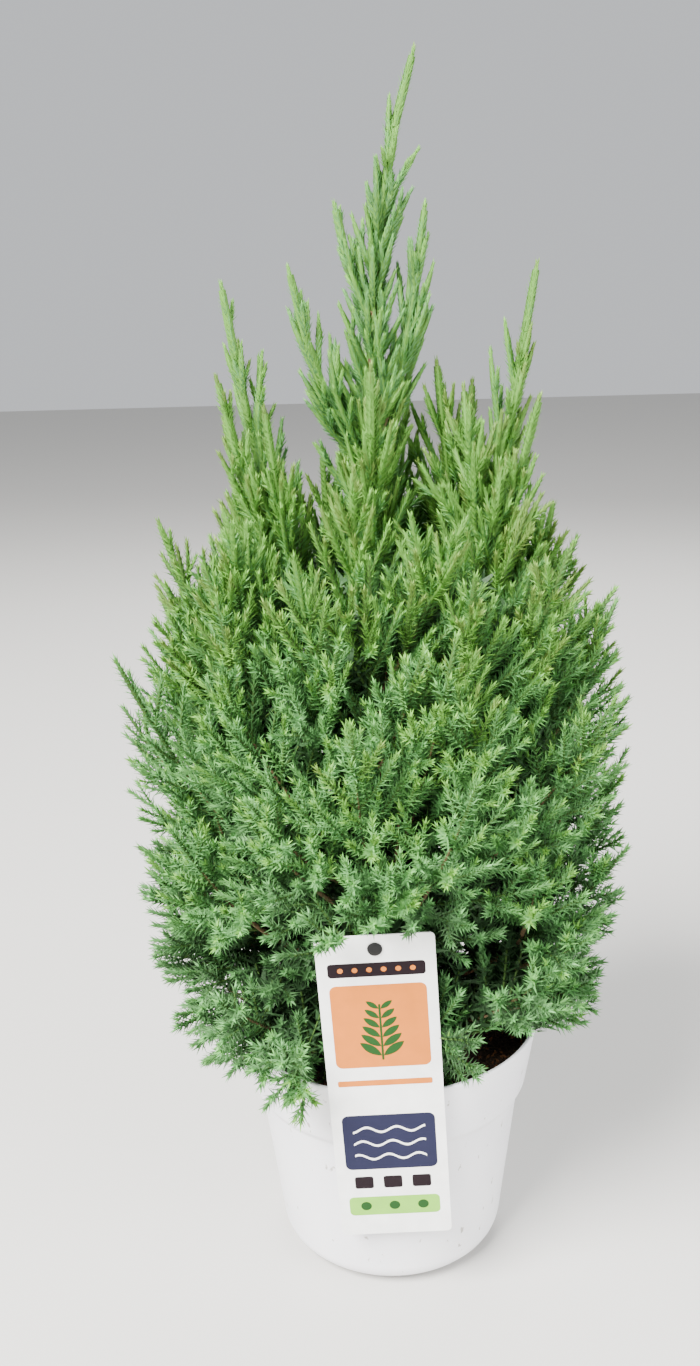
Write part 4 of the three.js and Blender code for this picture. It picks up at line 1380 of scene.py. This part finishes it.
def addPlate(work, low, high, outline, *holes):  # a flat plate in the label's own plane
    edges = []
    for loop in (outline, *holes):
        row = [work.verts.new((x, y, low)) for x, y in loop]
        edges += [work.edges.new((row[i], row[(i + 1) % len(row)])) for i in range(len(row))]
    filled = bmesh.ops.triangle_fill(work, use_beauty=True, edges=edges)["geom"]
    faces = [part for part in filled if isinstance(part, bmesh.types.BMFace)]
    lifted = bmesh.ops.extrude_face_region(work, geom=faces)["geom"]
    corners = [part for part in lifted if isinstance(part, bmesh.types.BMVert)]
    bmesh.ops.translate(work, verts=corners, vec=(0, 0, high - low))


def roundedBox(x, y, width, height, corner, steps=5):
    points = []
    for first, right, up in ((0, 1, 1), (90, -1, 1), (180, -1, -1), (270, 1, -1)):
        for i in range(steps + 1):
            angle = math.radians(first + 90 * i / steps)
            points.append((
                x + right * (width / 2 - corner) + corner * math.cos(angle),
                y + up * (height / 2 - corner) + corner * math.sin(angle),
            ))
    return points


def ring(x, y, radius, steps=28):
    return [
        (x + radius * math.cos(2 * math.pi * i / steps), y + radius * math.sin(2 * math.pi * i / steps))
        for i in range(steps)
    ]


def leafShape(x, y, length, width, turn, steps=9):
    points = []
    for side in (1, -1):
        for i in range(steps):
            u = i / steps if side > 0 else 1 - i / steps
            points.append((u * length, side * width / 2 * math.sin(math.pi * u) ** 0.8))
    c, s = math.cos(turn), math.sin(turn)
    return [(x + px * c - py * s, y + px * s + py * c) for px, py in points]


def plasticMaterial(name, color, roughness=0.35, specular=0.5, coat=0.25):
    stops = [(0.3, shade(color, 0.97)), (0.7, shade(color, 1.02))]
    material, shader, pattern = patterned(name, color, roughness, specular, (90.0, 4.0), stops)
    shader.inputs["Coat Weight"].default_value = coat
    shader.inputs["Coat Roughness"].default_value = 0.2
    addBump(material, shader, pattern, 0.05, 0.0003)
    return material


def printedPiece(name, color, layer, outlines):
    half = labelSizes["thickness"] / 2
    work = bmesh.new()
    for outline in outlines:
        addPlate(work, half - labelPrint["sunk"], half + labelPrint["raise"] * layer, outline)
    ink = plasticMaterial(name, labelPrint[color], 0.45, 0.1, 0.0)
    makePiece(name, onLabel(work, name), ink, "label_plastic")


def makeLabel():
    s = labelSizes
    half, holeHeight = s["thickness"] / 2, s["length"] / 2 - s["holeBelow"]
    work = bmesh.new()
    outline = roundedBox(0, 0, s["width"], s["length"], s["corner"])
    addPlate(work, -half, half, outline, ring(0, holeHeight, s["holeRadius"], 32))
    white = plasticMaterial("labelWhite", (248, 248, 245))
    makePiece("labelCard", onLabel(work, "labelCard"), white, "label_plastic", "label_card")
    makePrint()


def makePrint():
    wide = labelSizes["width"] - 2 * labelPrint["margin"]
    sprig = [roundedBox(0, 42, 1.2, 38, 0.5, 3)]
    for i in range(6):
        for x, turn in ((0.6, 38), (-0.6, 142)):
            sprig.append(leafShape(x, 26 + 6.4 * i, 15 - 1.3 * i, 5.2 - 0.4 * i, math.radians(turn)))
    waves = []
    for row in range(3):
        upper = [(x, -26 - 10 * row + 1.8 * math.sin(x * 0.36 + row)) for x in np.linspace(-21, 21, 43)]
        waves.append(upper + [(x, y - 1.5) for x, y in upper[::-1]])
    for name, color, layer, outlines in (
        ("printPlumBand", "plum", 1, [roundedBox(0, 84, wide, 9, 2)]),
        ("printPeachPanel", "peach", 1, [roundedBox(0, 46, wide, 56, 4)]),
        ("printSlatePanel", "slate", 1, [roundedBox(0, -36, wide, 40, 4)]),
        ("printGreenStrip", "green", 1, [roundedBox(0, -84, wide, 14, 3)]),
        ("printSprig", "leaf", 2, sprig),
        ("printBandDots", "peach", 2, [ring(x, 84, 1.6, 16) for x in range(-20, 21, 8)]),
        ("printWaves", "white", 2, waves),
        ("printStripDots", "leaf", 2, [ring(x, -84, 3.2, 22) for x in (-17, 0, 17)]),
        ("printPlumSquares", "plum", 1, [roundedBox(x, -66, 11, 9, 1.5) for x in (-17, 0, 17)]),
        ("printPeachLine", "peach", 1, [roundedBox(0, 7, wide, 4, 1)]),
    ):
        printedPiece(name, color, layer, outlines)


def makePeg():
    s, half = pegSizes, labelSizes["thickness"] / 2
    holeHeight = labelSizes["length"] / 2 - labelSizes["holeBelow"]
    top = labelPlace @ Vector((0, holeHeight + s["above"], -(half + s["gap"] + s["depth"] / 2)))
    foot = Vector((-s["footLeft"], -s["footOut"], trunkSizes["foot"] - s["buried"]))
    work = bmesh.new()
    lean = (top - foot).to_track_quat("Z", "Y").to_matrix().to_4x4()
    sizes = Matrix.Diagonal((s["width"], s["depth"], (top - foot).length, 1))
    bmesh.ops.create_cube(work, size=1, matrix=Matrix.Translation((top + foot) / 2) @ lean @ sizes)
    bmesh.ops.bevel(work, geom=list(work.edges), offset=s["round"], segments=3, affect="EDGES", profile=0.6)
    neck = half * 2 + 2 * s["gap"] + s["depth"]
    front = half + s["gap"]
    bmesh.ops.create_cone(
        work, cap_ends=True, segments=32, radius1=s["neckRadius"], radius2=s["neckRadius"], depth=neck,
        matrix=labelPlace @ Matrix.Translation((0, holeHeight, front + s["neckOver"] - neck / 2)),
    )
    head = latheMesh("head", s["head"], 40)
    head.transform(labelPlace @ Matrix.Translation((0, holeHeight, front)) @ Matrix.Scale(1 / mm, 4))
    work.from_mesh(head)
    mesh = closeWork(work, "labelPeg")
    mesh.transform(Matrix.Scale(mm, 4))
    smoothTo(mesh, s["sharpFrom"])
    dark = plasticMaterial("pegPlastic", (18, 18, 19), 0.5, 0.25, 0.0)
    makePiece("labelPeg", mesh, dark, "peg_plastic", "label_peg")


# The stage

cameraPlace = {
    "position": (0, -751, 583), "pitch": 15.6, "roll": -1.6, "yaw": -1.41,
    "focal": 1300, "frame": 1366,  # in the photograph's pixels
}
floorSizes = {"half": 9000, "below": 0.3, "color": (196, 194, 190)}
studio = {"color": (0.80, 0.82, 0.85), "strength": 0.85, "aim": (0, 0, 0.35)}
lights = [  # name, place and size in metres, power, colour
    ("keyLight", (-1.3, -1.6, 2.3), 1.6, 470, (1.0, 0.99, 0.97)),
    ("fillLight", (1.7, -1.2, 1.2), 1.6, 60, (0.96, 0.98, 1.0)),
    ("backLight", (0.4, 1.8, 2.0), 1.4, 60, (1, 1, 1)),
]


def makeCamera():
    c = cameraPlace
    pitch, roll, yaw = (math.radians(c[key]) for key in ("pitch", "roll", "yaw"))
    forward = Vector((math.sin(yaw) * math.cos(pitch), math.cos(yaw) * math.cos(pitch), -math.sin(pitch)))
    right = Vector((math.cos(yaw), -math.sin(yaw), 0))
    up = right.cross(forward)
    turnedRight = math.cos(roll) * right + math.sin(roll) * up
    turnedUp = -math.sin(roll) * right + math.cos(roll) * up
    data = bpy.data.cameras.new("camera")
    data.sensor_width = 36
    data.lens = data.sensor_width * c["focal"] / c["frame"]
    data.clip_start = 0.01
    camera = newObject("camera", data)
    axes = Matrix((turnedRight, turnedUp, -forward)).transposed().to_4x4()
    camera.matrix_world = Matrix.Translation(Vector(c["position"]) * mm) @ axes
    bpy.context.scene.camera = camera


def addLight(name, position, size, power, color):
    data = bpy.data.lights.new(name, "AREA")
    data.shape, data.size, data.energy, data.color = "DISK", size, power, color
    light = newObject(name, data)
    light.location = position
    aim = Vector(studio["aim"]) - Vector(position)
    light.rotation_euler = aim.to_track_quat("-Z", "Y").to_euler()


def makeStage():
    half = floorSizes["half"]
    corners = [(x * half, y * half, 0) for x, y in ((-1, -1), (1, -1), (1, 1), (-1, 1))]
    mesh = meshFrom("floor", corners, [(0, 1, 2, 3)])
    material, shader = newMaterial("paleFloor", floorSizes["color"], 0.8, 0.2)
    addBump(material, shader, addPattern(material, 40.0, 5.0), 0.05, 0.001)
    mesh.materials.append(material)
    floor = newObject("floor", mesh)
    floor.location.z = -floorSizes["below"] * mm
    world = bpy.data.worlds.new("studio")
    world.use_nodes = True
    background = world.node_tree.nodes["Background"]
    background.inputs["Color"].default_value = (*studio["color"], 1)
    background.inputs["Strength"].default_value = studio["strength"]
    bpy.context.scene.world = world
    for light in lights:
        addLight(*light)


# Make everything

makeCamera()
makeStage()
print("camera and studio ready")
limbs = planLimbs()
limbs += addForks(limbs)
shoots = clearShoots(growShoots(limbs))
print(f"{len(limbs)} limbs, {len(shoots['length'])} shoots")
makeNeedles(placeNeedles(shoots), limbs)
makeTwigs(shoots, limbs)
print("twigs done")
makeBark(limbs)
print("bark done")
makePot()
makeSoil()
print("pot and compost done")
makeLabel()
makePeg()
print("label done")
